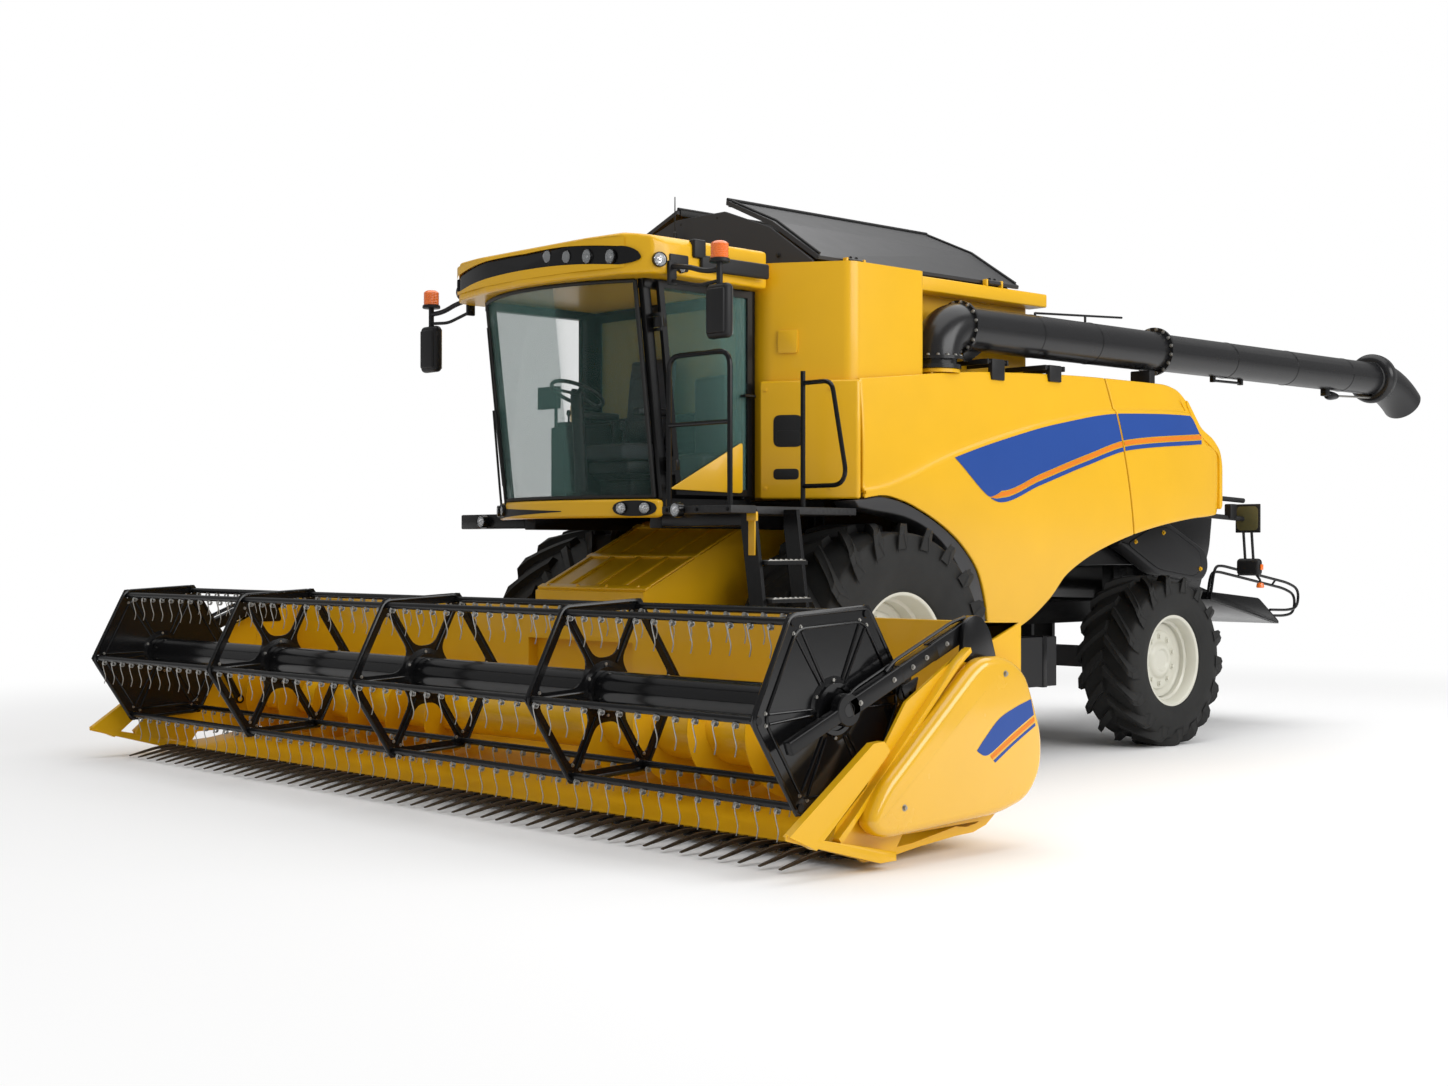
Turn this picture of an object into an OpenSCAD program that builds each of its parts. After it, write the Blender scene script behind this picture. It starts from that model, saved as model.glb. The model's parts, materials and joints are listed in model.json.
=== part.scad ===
// Combine harvester with a reel header, parked with the header lowered.
// Front faces -Y, the machine's left is +X, the ground is Z = 0.

/* [Wheels] */
// front tyre radius over the lugs
front_tyre_r = 910; // [860:5:950]
// front tyre width
front_tyre_w = 800; // [700:10:840]
// front wheel centre from the machine's middle
front_track_x = 1383; // [1340:5:1450]
// front rim radius
front_rim_r = 425; // [400:5:460]
// lug height of the front tyres
front_lug = 58; // [45:1:65]
// lugs on each half of a front tyre
front_lugs = 20; // [18:1:22]
// rear tyre radius over the lugs
rear_tyre_r = 710; // [660:5:740]
// rear tyre width
rear_tyre_w = 532; // [460:4:560]
// rear wheel centre from the machine's middle
rear_track_x = 1265; // [1240:5:1320]
// rear rim radius
rear_rim_r = 370; // [340:5:390]
// lug height of the rear tyres
rear_lug = 48; // [40:1:55]
// lugs on each half of a rear tyre
rear_lugs = 17; // [15:1:18]
// front axle to rear axle
wheelbase = 3660; // [3500:10:3800]
// steering pin from the machine's middle
king_x = 880; // [860:5:900]

/* [Body] */
// half width of the threshing hull
hull_half = 850; // [800:10:900]
// top of the hull, where the grain tank sits
hull_top = 2000; // [1960:10:2040]
// half width of the grain tank at its front corners
tank_half = 1500; // [1460:10:1540]
// outer face of the side shields out from the tank's corners
shield_gap = 100; // [100:5:140]
// rim of the grain tank
tank_top = 3630; // [3560:10:3680]
// top edge of the tank covers
ridge_z = 4205; // [4150:10:4260]
// half the gap between the top edges of the covers
mouth_half = 270; // [230:10:320]
// top edge of the side shields
shield_top = 3000; // [2960:5:3010]

/* [Cab] */
// half width of the cab at its doors
cab_half = 900; // [860:10:920]
// cab floor
cab_floor_z = 1980; // [1960:5:2000]
// underside of the cab roof
cab_head_z = 3440; // [3400:10:3480]
// front of the cab floor at the middle
cab_nose = 1720; // [1680:10:1760]

/* [Header] */
// inner face of the header's end sheets from the middle
header_half = 3800; // [3400:50:3800]
// reel axis forward of the front axle
reel_fwd = 2770; // [2740:5:2800]
// reel axis height
reel_z = 820; // [815:5:860]
// reel axis to tine bar
reel_r = 544; // [520:4:544]
// tine bar to tine tip
tine_drop = 190; // [150:5:190]
// pitch of the tines and of the long fingers
tine_pitch = 150; // [140:5:160]
// header auger radius over the flights
screw_r = 310; // [280:5:310]

/* [Unloader] */
// swing axis of the unloading tube out from the tank's wall
swing_gap = 230; // [225:5:240]
// swing axis behind the front axle
swing_y = 750; // [740:5:780]
// height of the unloading tube's axis
tube_z = 3280; // [3270:5:3320]
// unloading tube radius
tube_r = 165; // [150:5:168]

/* [Fits] */
// running gap of a pin in its bore, on the radius
pin_gap = 0.5; // [0.3:0.1:0.8]
// gap between pieces that move past each other
clear = 10; // [6:1:14]

/* [Hidden] */
$fn = 48;
front_reach = reel_fwd + (reel_r + 50) * cos(3);
rear_reach = 7900;
axle_y = (front_reach - rear_reach) / 2;
rail_z0 = front_tyre_r + 100;
rail_z1 = rail_z0 + 180;
rail_x = 560;
hitch_y = 4640;
hitch_r = 16;
feeder_y = -250;
feeder_z = 1520;
feeder_r = 340;
feeder_half = 600;
back_y = -1400;
screw_y = -1860;
screw_z = 470;
arm_y = -1800;
arm_z = 1215;
arm_x = header_half - 40;
plate_x = header_half - 110;
drum_r = 110;
bat_r = 22;
shield_x = tank_half + shield_gap;
hinge_x = shield_x - 80;
hinge_z = shield_top + 30;
wall_x = tank_half - 350;
swing_x = wall_x + swing_gap;
lid_x = tank_half - 190;
lid_z = tank_top + 35;
fold_x = lid_x - 530;
fold_z = ridge_z - 220;
gable_top = ridge_z - 85;
seam_y = 2750;
door_x = cab_half + 50;
door_y = -1415;
glass_r = 1552;
glass_y = glass_r - cab_nose;
glass_lean = 6.8;
tank_back = 2150;
tank_corner = 500;
lift_x = 375;
lift_y = -230;
lift_z = 800;
lug_y = -900;
lug_z = 450;
reel_lug_y = -2300;
reel_lug_z = 880;
reel_base_y = -2050;
reel_base_z = 400;
yellow = [0.95, 0.72, 0.05];
black = [0.12, 0.12, 0.13];
grey = [0.35, 0.35, 0.37];
cream = [0.92, 0.90, 0.82];
steel = [0.62, 0.63, 0.65];
pane = [0.55, 0.68, 0.72, 0.5];

// Everything is drawn from the front axle and then moved to the middle of the whole length.
module at_axle() { translate([0, axle_y, 0]) children(); }

module both_sides() {
  children();
  mirror([1, 0, 0]) children();
}

module box(x0, x1, y0, y1, z0, z1) {
  translate([x0, y0, z0]) cube([x1 - x0, y1 - y0, z1 - z0]);
}

// An outline seen from the side, pulled across the machine.
module side_plate(x0, x1, pts) {
  translate([x0, 0, 0]) rotate([90, 0, 90]) linear_extrude(x1 - x0) polygon(pts);
}

// An outline seen from the front, pulled along the machine.
module front_plate(y0, y1, pts) {
  translate([0, y1, 0]) rotate([90, 0, 0]) linear_extrude(y1 - y0) polygon(pts);
}

module rod_x(x0, x1, y, z, r) {
  translate([x0, y, z]) rotate([0, 90, 0]) cylinder(r = r, h = x1 - x0);
}

module rod_y(x, y0, y1, z, r) {
  translate([x, y1, z]) rotate([90, 0, 0]) cylinder(r = r, h = y1 - y0);
}

module rod_z(x, y, z0, z1, r) {
  translate([x, y, z0]) cylinder(r = r, h = z1 - z0);
}

// A round bar between two points.
module bar(a, b, r) {
  d = b - a;
  l = norm(d);
  translate(a) rotate([0, acos(d[2] / l), atan2(d[1], d[0])]) cylinder(r = r, h = l);
}

// Frame under the hull: two rails, cross members and the seat of the rear axle.
module chassis_frame() {
  color(black) at_axle() union() {
    both_sides() box(rail_x - 60, rail_x + 60, -60, hitch_y - 80, rail_z0, rail_z1);
    for (y = [2750, hitch_y - 140]) box(-rail_x, rail_x, y - 60, y + 60, rail_z0, rail_z1);
    difference() {
      for (z = [0, 75]) box(-60, 60, hitch_y - 90, hitch_y + 45, rail_z0 + z, rail_z0 + z + 25);
      rod_z(0, hitch_y, rail_z0 - 10, rail_z0 + 120, hitch_r);
    }
    box(-rail_x, rail_x, wheelbase - 170, wheelbase + 170, rail_z0, rail_z1);
    for (s = [-150, 150])
      box(-150, 150, wheelbase + s - 20, wheelbase + s + 20, rear_tyre_r - 100, rail_z0 + 20);
    both_sides() box(rail_x - 60, rail_x + 60, 4050, 4250, rail_z1 - 20, 1500);
  }
}

// Driven front axle: middle beam, final drives and the spindles in the wheel hubs.
module front_axle() {
  color(grey) at_axle() union() {
    box(-640, 640, -130, 130, front_tyre_r - 130, rail_z0);
    both_sides() {
      rod_x(rail_x + 65, 900, 0, front_tyre_r, 230);
      rod_x(850, front_track_x + 40, 0, front_tyre_r, 90);
      for (x = [lift_x - 90, lift_x + 70])
        side_plate(x, x + 20, [[-100, front_tyre_r - 20], [-100, front_tyre_r - 129],
          [lift_y - 50, lift_z - 50], [lift_y - 50, lift_z + 50]]);
      rod_x(lift_x - 85, lift_x + 85, lift_y, lift_z, 25);
    }
  }
}

// Steered rear axle: beam, end eyes and steering pins.
module rear_axle() {
  color(grey) at_axle() union() {
    box(-king_x + 60, king_x - 60, wheelbase - 130, wheelbase + 130, rear_tyre_r - 85, rear_tyre_r + 85);
    both_sides() {
      rod_z(king_x, wheelbase, rear_tyre_r - 90, rear_tyre_r + 90, 80);
      rod_z(king_x, wheelbase, rear_tyre_r - 180, rear_tyre_r + 180, 35);
    }
  }
}

// Threshing hull with the cleaning shoe below and the beams that carry the cab.
module body_hull() {
  color(black) at_axle() union() {
    side_plate(-hull_half, hull_half, [[120, rail_z1], [2650, rail_z1], [2950, 1500], [4300, 1500],
      [4300, hull_top], [120, hull_top]]);
    box(-rail_x + 60, rail_x - 60, 300, 2650, 760, rail_z1 + 20);
    both_sides() box(640, 760, -1380, 140, 1780, cab_floor_z - 80);
  }
}

// Plan of the tank's outside: wide front corners, then a recess for the unloading tube.
module tank_plan() {
  polygon([[520 - tank_half, -620], [tank_half - 520, -620], [tank_half, -280], [tank_half, tank_corner],
    [wall_x, tank_corner], [wall_x, tank_back], [-wall_x, tank_back], [-wall_x, tank_corner],
    [-tank_half, tank_corner], [-tank_half, -280]]);
}

// Grain tank, open on top, with a hopper floor, side ledges and the seats of hinges and tube.
module grain_tank() {
  color(yellow) at_axle() union() {
    difference() {
      translate([0, 0, hull_top]) linear_extrude(tank_top - hull_top) tank_plan();
      front_plate(-370, 1760, [[-wall_x + 30, tank_top + 1], [-wall_x + 30, 2950], [-250, 2150], [250, 2150],
        [wall_x - 30, 2950], [wall_x - 30, tank_top + 1]]);
    }
    both_sides() {
      box(wall_x - 1, lid_x + 20, tank_corner - 1, tank_back, tank_top - 100, tank_top);
      for (y = [1150, 1850]) {
        for (s = [0, 230]) box(wall_x - 1, hinge_x + 20, y + s, y + s + 20, hinge_z - 20, hinge_z + 20);
        rod_y(hinge_x, y + 1, y + 249, hinge_z, 12);
      }
      for (y = [-150, 1400]) {
        for (s = [0, 180]) box(lid_x - 20, lid_x + 20, y + s, y + s + 20, tank_top - 1, lid_z + 20);
        rod_y(lid_x, y + 1, y + 199, lid_z, 10);
      }
    }
    box(wall_x - 1, swing_x + 90, swing_y - 150, swing_y + 150, 2850, 2926);
    rod_z(swing_x, swing_y, 2925, 2950, tube_r + 10);
  }
}

// Room under the closed covers, a gap below them.
module under_covers(y0, y1) {
  edge = lid_x - 70;
  front_plate(y0, y1, [[-edge, tank_top], [-edge, tank_top + 20], [-fold_x + 5, fold_z - 45],
    [-mouth_half, gable_top], [mouth_half, gable_top], [fold_x - 5, fold_z - 45], [edge, tank_top + 20],
    [edge, tank_top]]);
}

// Gable sheets that close the covers at the front and the back.
module tank_gables() {
  color(grey) at_axle() {
    intersection() {
      under_covers(-500, 200);
      side_plate(-lid_x, lid_x, [[-410, tank_top], [-385, tank_top], [-290, ridge_z],
        [-315, ridge_z]]);
    }
    intersection() {
      under_covers(1700, 1900);
      box(-lid_x, lid_x, 1760, 1785, tank_top, ridge_z);
    }
  }
}

// One folding tank cover: two sheets with a bend, hinged at its outer edge.
module tank_cover() {
  difference() {
    union() {
      front_plate(-460, 2060, [[lid_x - 55, tank_top + 25], [fold_x - 5, fold_z - 35],
        [mouth_half, ridge_z - 35], [mouth_half, ridge_z], [fold_x, fold_z], [lid_x - 35, tank_top + 50],
        [lid_x - 35, tank_top + 25]]);
      for (y = [-120, 1430])
        difference() {
          front_plate(y, y + 140, [[lid_x - 48, tank_top + 26], [lid_x - 48, tank_top + 52],
            [lid_x, lid_z + 22], [lid_x + 20, lid_z + 10], [lid_x + 20, lid_z - 10], [lid_x, lid_z - 20]]);
          rod_y(lid_x, y - 10, y + 160, lid_z, 10 + pin_gap);
        }
    }
    side_plate(-10, lid_x + 90, [[-900, tank_top - 30], [-385, tank_top - 30], [-300, ridge_z + 70],
      [-900, ridge_z + 70]]);
    side_plate(-10, lid_x + 90, [[1845, tank_top - 30], [2000, ridge_z + 70], [2200, ridge_z + 70],
      [2200, tank_top - 30]]);
  }
}

module tank_cover_left() { color(grey) at_axle() tank_cover(); }

module tank_cover_right() { color(grey) at_axle() mirror([1, 0, 0]) tank_cover(); }

// Hinge line of the door, leaning with the front pillar.
module on_door_axis() {
  translate([door_x, door_y, cab_floor_z]) rotate([glass_lean, 0, 0]) children();
}

// Cab floor plan with the curved front.
module cab_plan(r) {
  intersection() {
    translate([0, glass_y]) circle(r = r, $fn = 128);
    polygon([[-cab_half, -660], [cab_half, -660], [cab_half - 20, -1455], [cab_half - 20, -1900],
      [-cab_half + 20, -1900], [-cab_half + 20, -1455]]);
  }
}

// Cab floor, corner pillars, rear wall with its window cut, and the door's hinge pins.
module cab_frame() {
  color(black) at_axle() union() {
    translate([0, 0, cab_floor_z - 80]) linear_extrude(80) cab_plan(glass_r + 8);
    both_sides() {
      side_plate(cab_half - 70, cab_half - 20, [[-1475, cab_floor_z - 1], [-1415, cab_floor_z - 1],
        [-1590, cab_head_z], [-1650, cab_head_z]]);
      box(cab_half - 80, cab_half, -740, -630, cab_floor_z - 1, cab_head_z);
      box(cab_half - 80, cab_half - 10, -1640, -630, cab_head_z - 60, cab_head_z);
    }
    difference() {
      box(-cab_half + 10, cab_half - 10, -660, -630, cab_floor_z - 1, cab_head_z);
      box(-cab_half + 130, cab_half - 130, -700, -600, 2620, cab_head_z - 80);
    }
    on_door_axis() for (z = [160, 1120]) {
      for (s = [0, 100]) box(cab_half - 60 - door_x, 15, -15, 15, z + s, z + s + 20);
      rod_z(0, 0, z + 1, z + 119, 10);
    }
  }
}

// Plan of the roof, set in by a margin, and the front line of that plan.
function roof_plan(m) = [[m - 1040, -645], [1040 - m, -645], [1110 - m, -1560], [1110 - m, -1650],
  [1080 - m, -1740 + m], [900 - m, -1860 + m], [450, -1960 + m], [0, -1990 + m], [-450, -1960 + m],
  [m - 900, -1860 + m], [m - 1080, -1740 + m], [m - 1110, -1650], [m - 1110, -1560]];
function roof_front(x, m) = lookup(abs(x), [[0, -1990 + m], [450, -1960 + m], [900 - m, -1860 + m]]);
visor_in = 60;
visor_z0 = cab_head_z + 65;
visor_z1 = cab_head_z + 235;

// Roof cap: plan, side line and cross arch worked together, with the visor's recess along its front.
module cab_roof() {
  color(yellow) at_axle() difference() {
    intersection() {
      translate([0, 0, cab_head_z]) linear_extrude(600) polygon(roof_plan(0));
      translate([0, 0, cab_head_z]) side_plate(-1200, 1200, [[-645, 0], [-1990, 0], [-2000, 80], [-1955, 245],
        [-1915, 268], [-1650, 300], [-1200, 330], [-645, 345]]);
      translate([0, 0, cab_head_z]) front_plate(-2100, -600, [[-1110, 0], [1110, 0], [1115, 80], [1105, 215],
        [1060, 258], [600, 320], [0, 345], [-600, 320], [-1060, 258], [-1105, 215], [-1115, 80]]);
    }
    translate([0, 0, visor_z0]) linear_extrude(visor_z1 - visor_z0) difference() {
      translate([-1000, -2100]) square([1900, 500]);
      polygon(roof_plan(visor_in));
    }
  }
}

// Round work lamps: in the visor, on the roof's corners, on the apron and on the bars beside the cab.
module work_lamps() {
  seat = 0.3;
  corner = atan2(90, 30);
  color(cream) at_axle() {
    for (i = [0 : 3]) let (x = 240 + 190 * i, y = roof_front(x - 55, visor_in) - seat)
      rod_y(x, y - 40, y, visor_z0 + 108 - 16 * i, 55);
    both_sides() {
      translate([1095, -1695, cab_head_z + 91]) rotate([90, 0, corner]) translate([0, 0, seat])
        cylinder(r = 50, h = 25);
      for (a = [24, 30]) translate([0, glass_y, 1915]) rotate([0, 0, a])
        translate([0, -glass_r - 60 - seat, 0]) rotate([90, 0, 0]) cylinder(r = 42, h = 22);
    }
    rod_y(1240, -1690, -1640 - seat, cab_floor_z - 85, 50);
    rod_y(-1240, -1430, -1380 - seat, 1845, 50);
  }
}

// Curved apron under the windscreen.
module cab_bumper() {
  color(yellow) at_axle() intersection() {
    translate([0, glass_y, 1850]) difference() {
      cylinder(r = glass_r + 60, h = cab_floor_z - 1855, $fn = 128);
      translate([0, 0, -1]) cylinder(r = glass_r + 9, h = 300, $fn = 128);
    }
    box(-880, 880, -2000, -1455, 1800, 2000);
  }
}

// Curved windscreen, leaning forward at the top.
module windscreen() {
  color(pane) at_axle() intersection() {
    translate([0, 0, cab_floor_z]) rotate([glass_lean, 0, 0]) translate([0, glass_y, -200]) difference() {
      cylinder(r = glass_r, h = 2000, $fn = 360);
      translate([0, 0, -1]) cylinder(r = glass_r - 8, h = 2100, $fn = 360);
    }
    box(-cab_half + 71, cab_half - 71, -2300, -1400, cab_floor_z, cab_head_z);
  }
}

// Right side pane and the pane in the rear wall.
module cab_windows() {
  color(pane) at_axle() {
    side_plate(-cab_half + 40, -cab_half + 50, [[-740, cab_floor_z], [-1415, cab_floor_z],
      [-1582, cab_head_z - 60], [-740, cab_head_z - 60]]);
    box(-cab_half + 130, cab_half - 130, -650, -642, 2620, cab_head_z - 80);
  }
}

// Outline of the door leaf, set in by a margin.
function leaf(m) = [[-690 - m, cab_floor_z + 25 + m], [-1395 + m * 0.9, cab_floor_z + 25 + m],
  [-1560 + m * 1.1, cab_head_z - 15 - m], [-690 - m, cab_head_z - 15 - m]];

module cab_door() {
  color(black) at_axle() union() {
    difference() {
      side_plate(cab_half + 6, cab_half + 36, leaf(0));
      side_plate(cab_half, cab_half + 50, leaf(45));
    }
    on_door_axis() for (z = [160, 1120])
      difference() {
        union() {
          box(cab_half + 8 - door_x, 0, -25, 60, z + 26, z + 94);
          rod_z(0, 0, z + 26, z + 94, 25);
        }
        rod_z(0, 0, z, z + 120, 10 + pin_gap);
      }
    rod_y(cab_half + 70, -800, -700, 2700, 12);
    for (y = [-790, -710]) rod_x(cab_half + 30, cab_half + 70, y, 2700, 10);
  }
}

module cab_door_glass() {
  color(pane) at_axle() side_plate(cab_half + 16, cab_half + 24, leaf(45));
}

module operator_seat() {
  color(black) at_axle() union() {
    box(-180, 180, -1150, -850, cab_floor_z, 2250);
    box(-260, 260, -1290, -780, 2250, 2400);
    side_plate(-250, 250, [[-790, 2380], [-900, 2390], [-830, 3050], [-720, 3050]]);
  }
}

module steering_console() {
  color(black) at_axle() union() {
    box(-80, 80, -1530, -1380, cab_floor_z, cab_floor_z + 60);
    bar([0, -1452, cab_floor_z + 20], [0, -1500, 2720], 45);
    translate([0, -1495, 2730]) rotate([-25, 0, 0]) rotate_extrude() translate([190, 0]) circle(r = 14);
    translate([0, -1495, 2730]) rotate([-25, 0, 0]) {
      cylinder(r = 50, h = 30, center = true);
      for (a = [90, 210, 330]) rotate([0, 0, a]) translate([0, -14, -6]) cube([190, 28, 12]);
    }
    box(-480, -330, -1350, -800, cab_floor_z, 2520);
    translate([-450, -1330, 2450]) cylinder(r = 12, h = 260);
    box(-640, -420, -1350, -1310, 2660, 2820);
  }
}

// Mirror heads on arms from the roof corners, with a beacon over each.
module mirrors() {
  color(black) at_axle() both_sides() union() {
    box(1500, 1700, -1675, -1575, 2980, 3330);
    box(1110, 1130, -1630, -1580, 3470, 3520);
    bar([1125, -1605, 3495], [1600, -1625, 3420], 18);
    rod_z(1600, -1625, 3320, 3480, 22);
    rod_z(1600, -1625, 3470, 3605, 66);
  }
}

// Walkway at the left of the cab, lamp bars at both sides and the guard rail in front.
module platform() {
  color(black) at_axle() union() {
    box(cab_half + 40, 1560, -1400, -300, cab_floor_z - 110, cab_floor_z - 60);
    both_sides() box(760, 1560, -1380, -1300, 1790, cab_floor_z - 80);
    box(1060, 1720, -1640, -1415, cab_floor_z - 110, cab_floor_z - 60);
    box(1060, 1540, -1420, -1390, cab_floor_z - 110, cab_floor_z - 60);
    for (x = [1110, 1690]) rod_z(x, -1620, cab_floor_z - 70, 2900, 18);
    for (z = [2450, 2900]) rod_x(1110, 1690, -1620, z, 18);
    rod_z(1535, -800, cab_floor_z - 70, 2790, 16);
    for (z = [2070, 2790]) rod_x(1535, 1880, -800, z, 16);
    rod_z(1880, -800, 2070, 2790, 16);
  }
}

// Boarding ladder in front of the left wheel, with its hand loop.
module ladder() {
  color(black) at_axle() union() {
    for (y = [-1400, -1010])
      front_plate(y, y + 30, [[1560, 1900], [1560, 1790], [1760, 480], [1880, 480], [1680, 1900]]);
    for (i = [0 : 4])
      box(1600 + i * 40, 1780 + i * 40, -1375, -1005, 1540 - i * 245, 1565 - i * 245);
  }
}

module engine() {
  color(grey) at_axle() box(-550, 550, 2450, 3850, hull_top, 2750);
}

// Deck over the engine bay, with the cooling air box at the right.
module engine_deck() {
  color(black) at_axle() union() {
    box(220 - shield_x, shield_x - 220, tank_back, 3860, 2860, 2900);
    box(220 - shield_x, -640, 2600, 3700, 2880, 3280);
  }
}

// Height of the shield's lower and upper edge along the machine, and its bulge.
function low_edge(y) = lookup(y, [[-250, 1990], [0, 1965], [160, 1930], [400, 1850], [590, 1740],
  [800, 1570], [980, 1380], [1310, 960], [1400, 960], [1700, 1060], [1980, 1260], [2140, 1440],
  [2600, 1650], [3300, 1820], [3810, 1890], [4220, 1940]]);
function top_edge(y) = lookup(y, [[-250, shield_top - 180], [1280, shield_top - 40], [2680, shield_top],
  [3450, shield_top], [3810, shield_top - 70], [3920, shield_top - 260], [4110, shield_top - 360],
  [4220, shield_top - 520]]);
function crease(y) = min(top_edge(y) - 120, lookup(y, [[-250, 2030], [-100, 2050], [700, 2310], [1220, 2450],
  [1950, 2610], [2810, 2730], [3810, 2760], [4220, 2700]]));
function bulge(y, z) = shield_x - (z > crease(y) + 1 ? 15 : 0) - 90 * pow((z - 2250) / 900, 2)
  - 260 * pow(max(0, y - 3300) / 1000, 2);

// Height of row k of a side sheet: five rows up to the crease, a step in, and three to the top edge.
function row_z(y, k) = k < 6 ? low_edge(y) + (crease(y) - low_edge(y)) * k / 5
  : crease(y) + 35 + (top_edge(y) - crease(y) - 35) * (k - 6) / 3;

// A curved side sheet between two stations along the machine.
module side_skin(ys, thick) {
  rows = 9;
  n = len(ys);
  outer = [for (y = ys) for (k = [0 : rows]) let (z = row_z(y, k)) [bulge(y, z), y, z]];
  inner = [for (p = outer) [p[0] - thick, p[1], p[2]]];
  m = rows + 1;
  o = n * m;
  polyhedron(concat(outer, inner), concat(
    [for (i = [0 : n - 2]) for (k = [0 : rows - 1]) each [
      [i * m + k, (i + 1) * m + k + 1, (i + 1) * m + k], [i * m + k, i * m + k + 1, (i + 1) * m + k + 1],
      [o + i * m + k, o + (i + 1) * m + k, o + (i + 1) * m + k + 1],
      [o + i * m + k, o + (i + 1) * m + k + 1, o + i * m + k + 1]]],
    [for (i = [0 : n - 2]) each [
      [i * m, (i + 1) * m, o + (i + 1) * m], [i * m, o + (i + 1) * m, o + i * m],
      [i * m + rows, o + (i + 1) * m + rows, (i + 1) * m + rows],
      [i * m + rows, o + i * m + rows, o + (i + 1) * m + rows]]],
    [for (k = [0 : rows - 1]) each [
      [k, o + k + 1, k + 1], [k, o + k, o + k + 1],
      [(n - 1) * m + k, (n - 1) * m + k + 1, o + (n - 1) * m + k + 1],
      [(n - 1) * m + k, o + (n - 1) * m + k + 1, o + (n - 1) * m + k]]]));
}

module side_shield() {
  union() {
    side_skin([-250, 0, 160, 400, 590, 800, 980, 1310, 1400, 1700, 1980, 2140, 2600, seam_y - clear], 30);
    for (y = [1200, 1900])
      difference() {
        box(hinge_x - 20, hinge_x + 24, y, y + 150, top_edge(y) - 60, hinge_z + 22);
        rod_y(hinge_x, y - 10, y + 160, hinge_z, 12 + pin_gap);
      }
  }
}

module side_shield_left() { color(yellow) at_axle() side_shield(); }

module side_shield_right() { color(yellow) at_axle() mirror([1, 0, 0]) side_shield(); }

// Rear cover: the curved rear sides, the back sheet and the rest of the unloading tube.
module rear_hood() {
  color(yellow) at_axle() union() {
    both_sides() side_skin([seam_y, 3000, 3300, 3600, 3810, 3920, 4110, 4220], 30);
    side_plate(-shield_x + 230, shield_x - 230, [[3860, shield_top - 80], [4110, shield_top - 360],
      [4220, shield_top - 520], [4220, hull_top], [4180, hull_top], [4180, shield_top - 540],
      [4070, shield_top - 390], [3860, shield_top - 140]]);
    box(swing_x - 70, hinge_x + 15, 3300, 3380, 2900, tube_z - tube_r - clear);
  }
}

// Straw chopper box, its slanted belt covers, the spreading board and the guard rails round it.
module straw_chopper() {
  belt_x = hull_half + 1;
  rail = [[945, 5090, 1240], [945, 5150, 1480], [945, 6560, 1300], [945, 6680, 1190], [945, 6600, 1010],
    [945, 6240, 950]];
  color(black) at_axle() union() {
    side_plate(-800, 800, [[4300, 1960], [5350, 1960], [5300, 1650], [5150, 1300], [5050, 1120], [4700, 1120],
      [4300, 1500]]);
    side_plate(-950, 950, [[5100, 1250], [6250, 960], [6250, 930], [5080, 1180]]);
    both_sides() {
      side_plate(900, 950, [[5090, 1250], [5900, 1180], [6250, 960], [6250, 930], [5080, 1180]]);
      side_plate(799, belt_x + 1, [[4310, 1880], [4900, 1660], [4900, 1480], [4310, 1540]]);
      side_plate(belt_x, belt_x + 150, [[3540, 1720], [3760, 1820], [4320, 1920], [4940, 1680],
        [5000, 1560], [4930, 1430], [4800, 1390], [4140, 1480]]);
      for (i = [0 : len(rail) - 2]) bar(rail[i], rail[i + 1], 14);
      for (q = rail) translate(q) sphere(r = 17);
    }
  }
}

module lamp_frames() {
  foot = shield_x - 305;
  mid = shield_x - 100;
  color(black) at_axle() both_sides() union() {
    box(foot - 35, foot + 35, 4220, 4245, 2065, 2135);
    bar([foot + 5, 4235, 2100], [mid - 40, 4790, 1950], 25);
    box(mid - 120, mid + 120, 4780, 4800, 1780, 2020);
    box(mid - 20, mid + 20, 4780, 4815, 1420, 1800);
    box(mid - 100, mid + 100, 4790, 4850, 1420, 1540);
  }
}

// Black arches along the front lower edge of the side shields.
module fenders() {
  color(black) at_axle() both_sides() union() {
    side_plate(shield_x - 220, shield_x - 55, [[-240, 1965], [0, 1940], [160, 1905], [400, 1825],
      [590, 1715], [800, 1545], [980, 1355], [1300, 945], [1265, 920], [945, 1325], [770, 1515],
      [570, 1675], [385, 1780], [150, 1860], [0, 1895], [-240, 1920]]);
    box(hull_half, shield_x - 200, 640, 700, 1560, 1620);
  }
}

module side_boxes() {
  color(black) at_axle() both_sides() union() {
    box(700, 1300, 1410, 2310, 560, 950);
    for (y = [1550, 2100]) box(rail_x + 60, 900, y, y + 80, 940, rail_z1);
  }
}

// Each lug takes four steps of the turn: up its flank, over its top, down again and on to the next.
function lug_step(j, lugs) = (floor(j / 4) + [0, 0.09, 0.30, 0.39][j % 4]) * 360 / lugs;

// A point of the tyre: step j of the turn, place i across from the outer bead to the inner one.
// The two halves of the tread are half a pitch apart, and a lug trails from its nose to its shoulder.
function tyre_point(r, w, rim, lug, lugs, j, i) = let (
  side = i < 5 ? 1 : -1,
  k = i < 5 ? i : 9 - i,
  step = j + (side > 0 ? 0 : 2),
  low = (step % 4 == 0 || step % 4 == 3) ? lug : 0,
  bead = rim / cos(0.31 * 360 / lugs) + 0.2,
  radius = [bead, (r + rim) / 2 + 20, r - 14 - low, r - 3 - low, r - low][k],
  sweep = [24, 24, 24, 11, 0][k],
  turn = lug_step(step, lugs) - (side > 0 ? 0 : 180 / lugs) + sweep - 90 - lug_step(1, lugs))
  [side * w * [0.40, 0.50, 0.44, 0.23, 0.03][k], radius * cos(turn), radius * sin(turn)];

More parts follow.
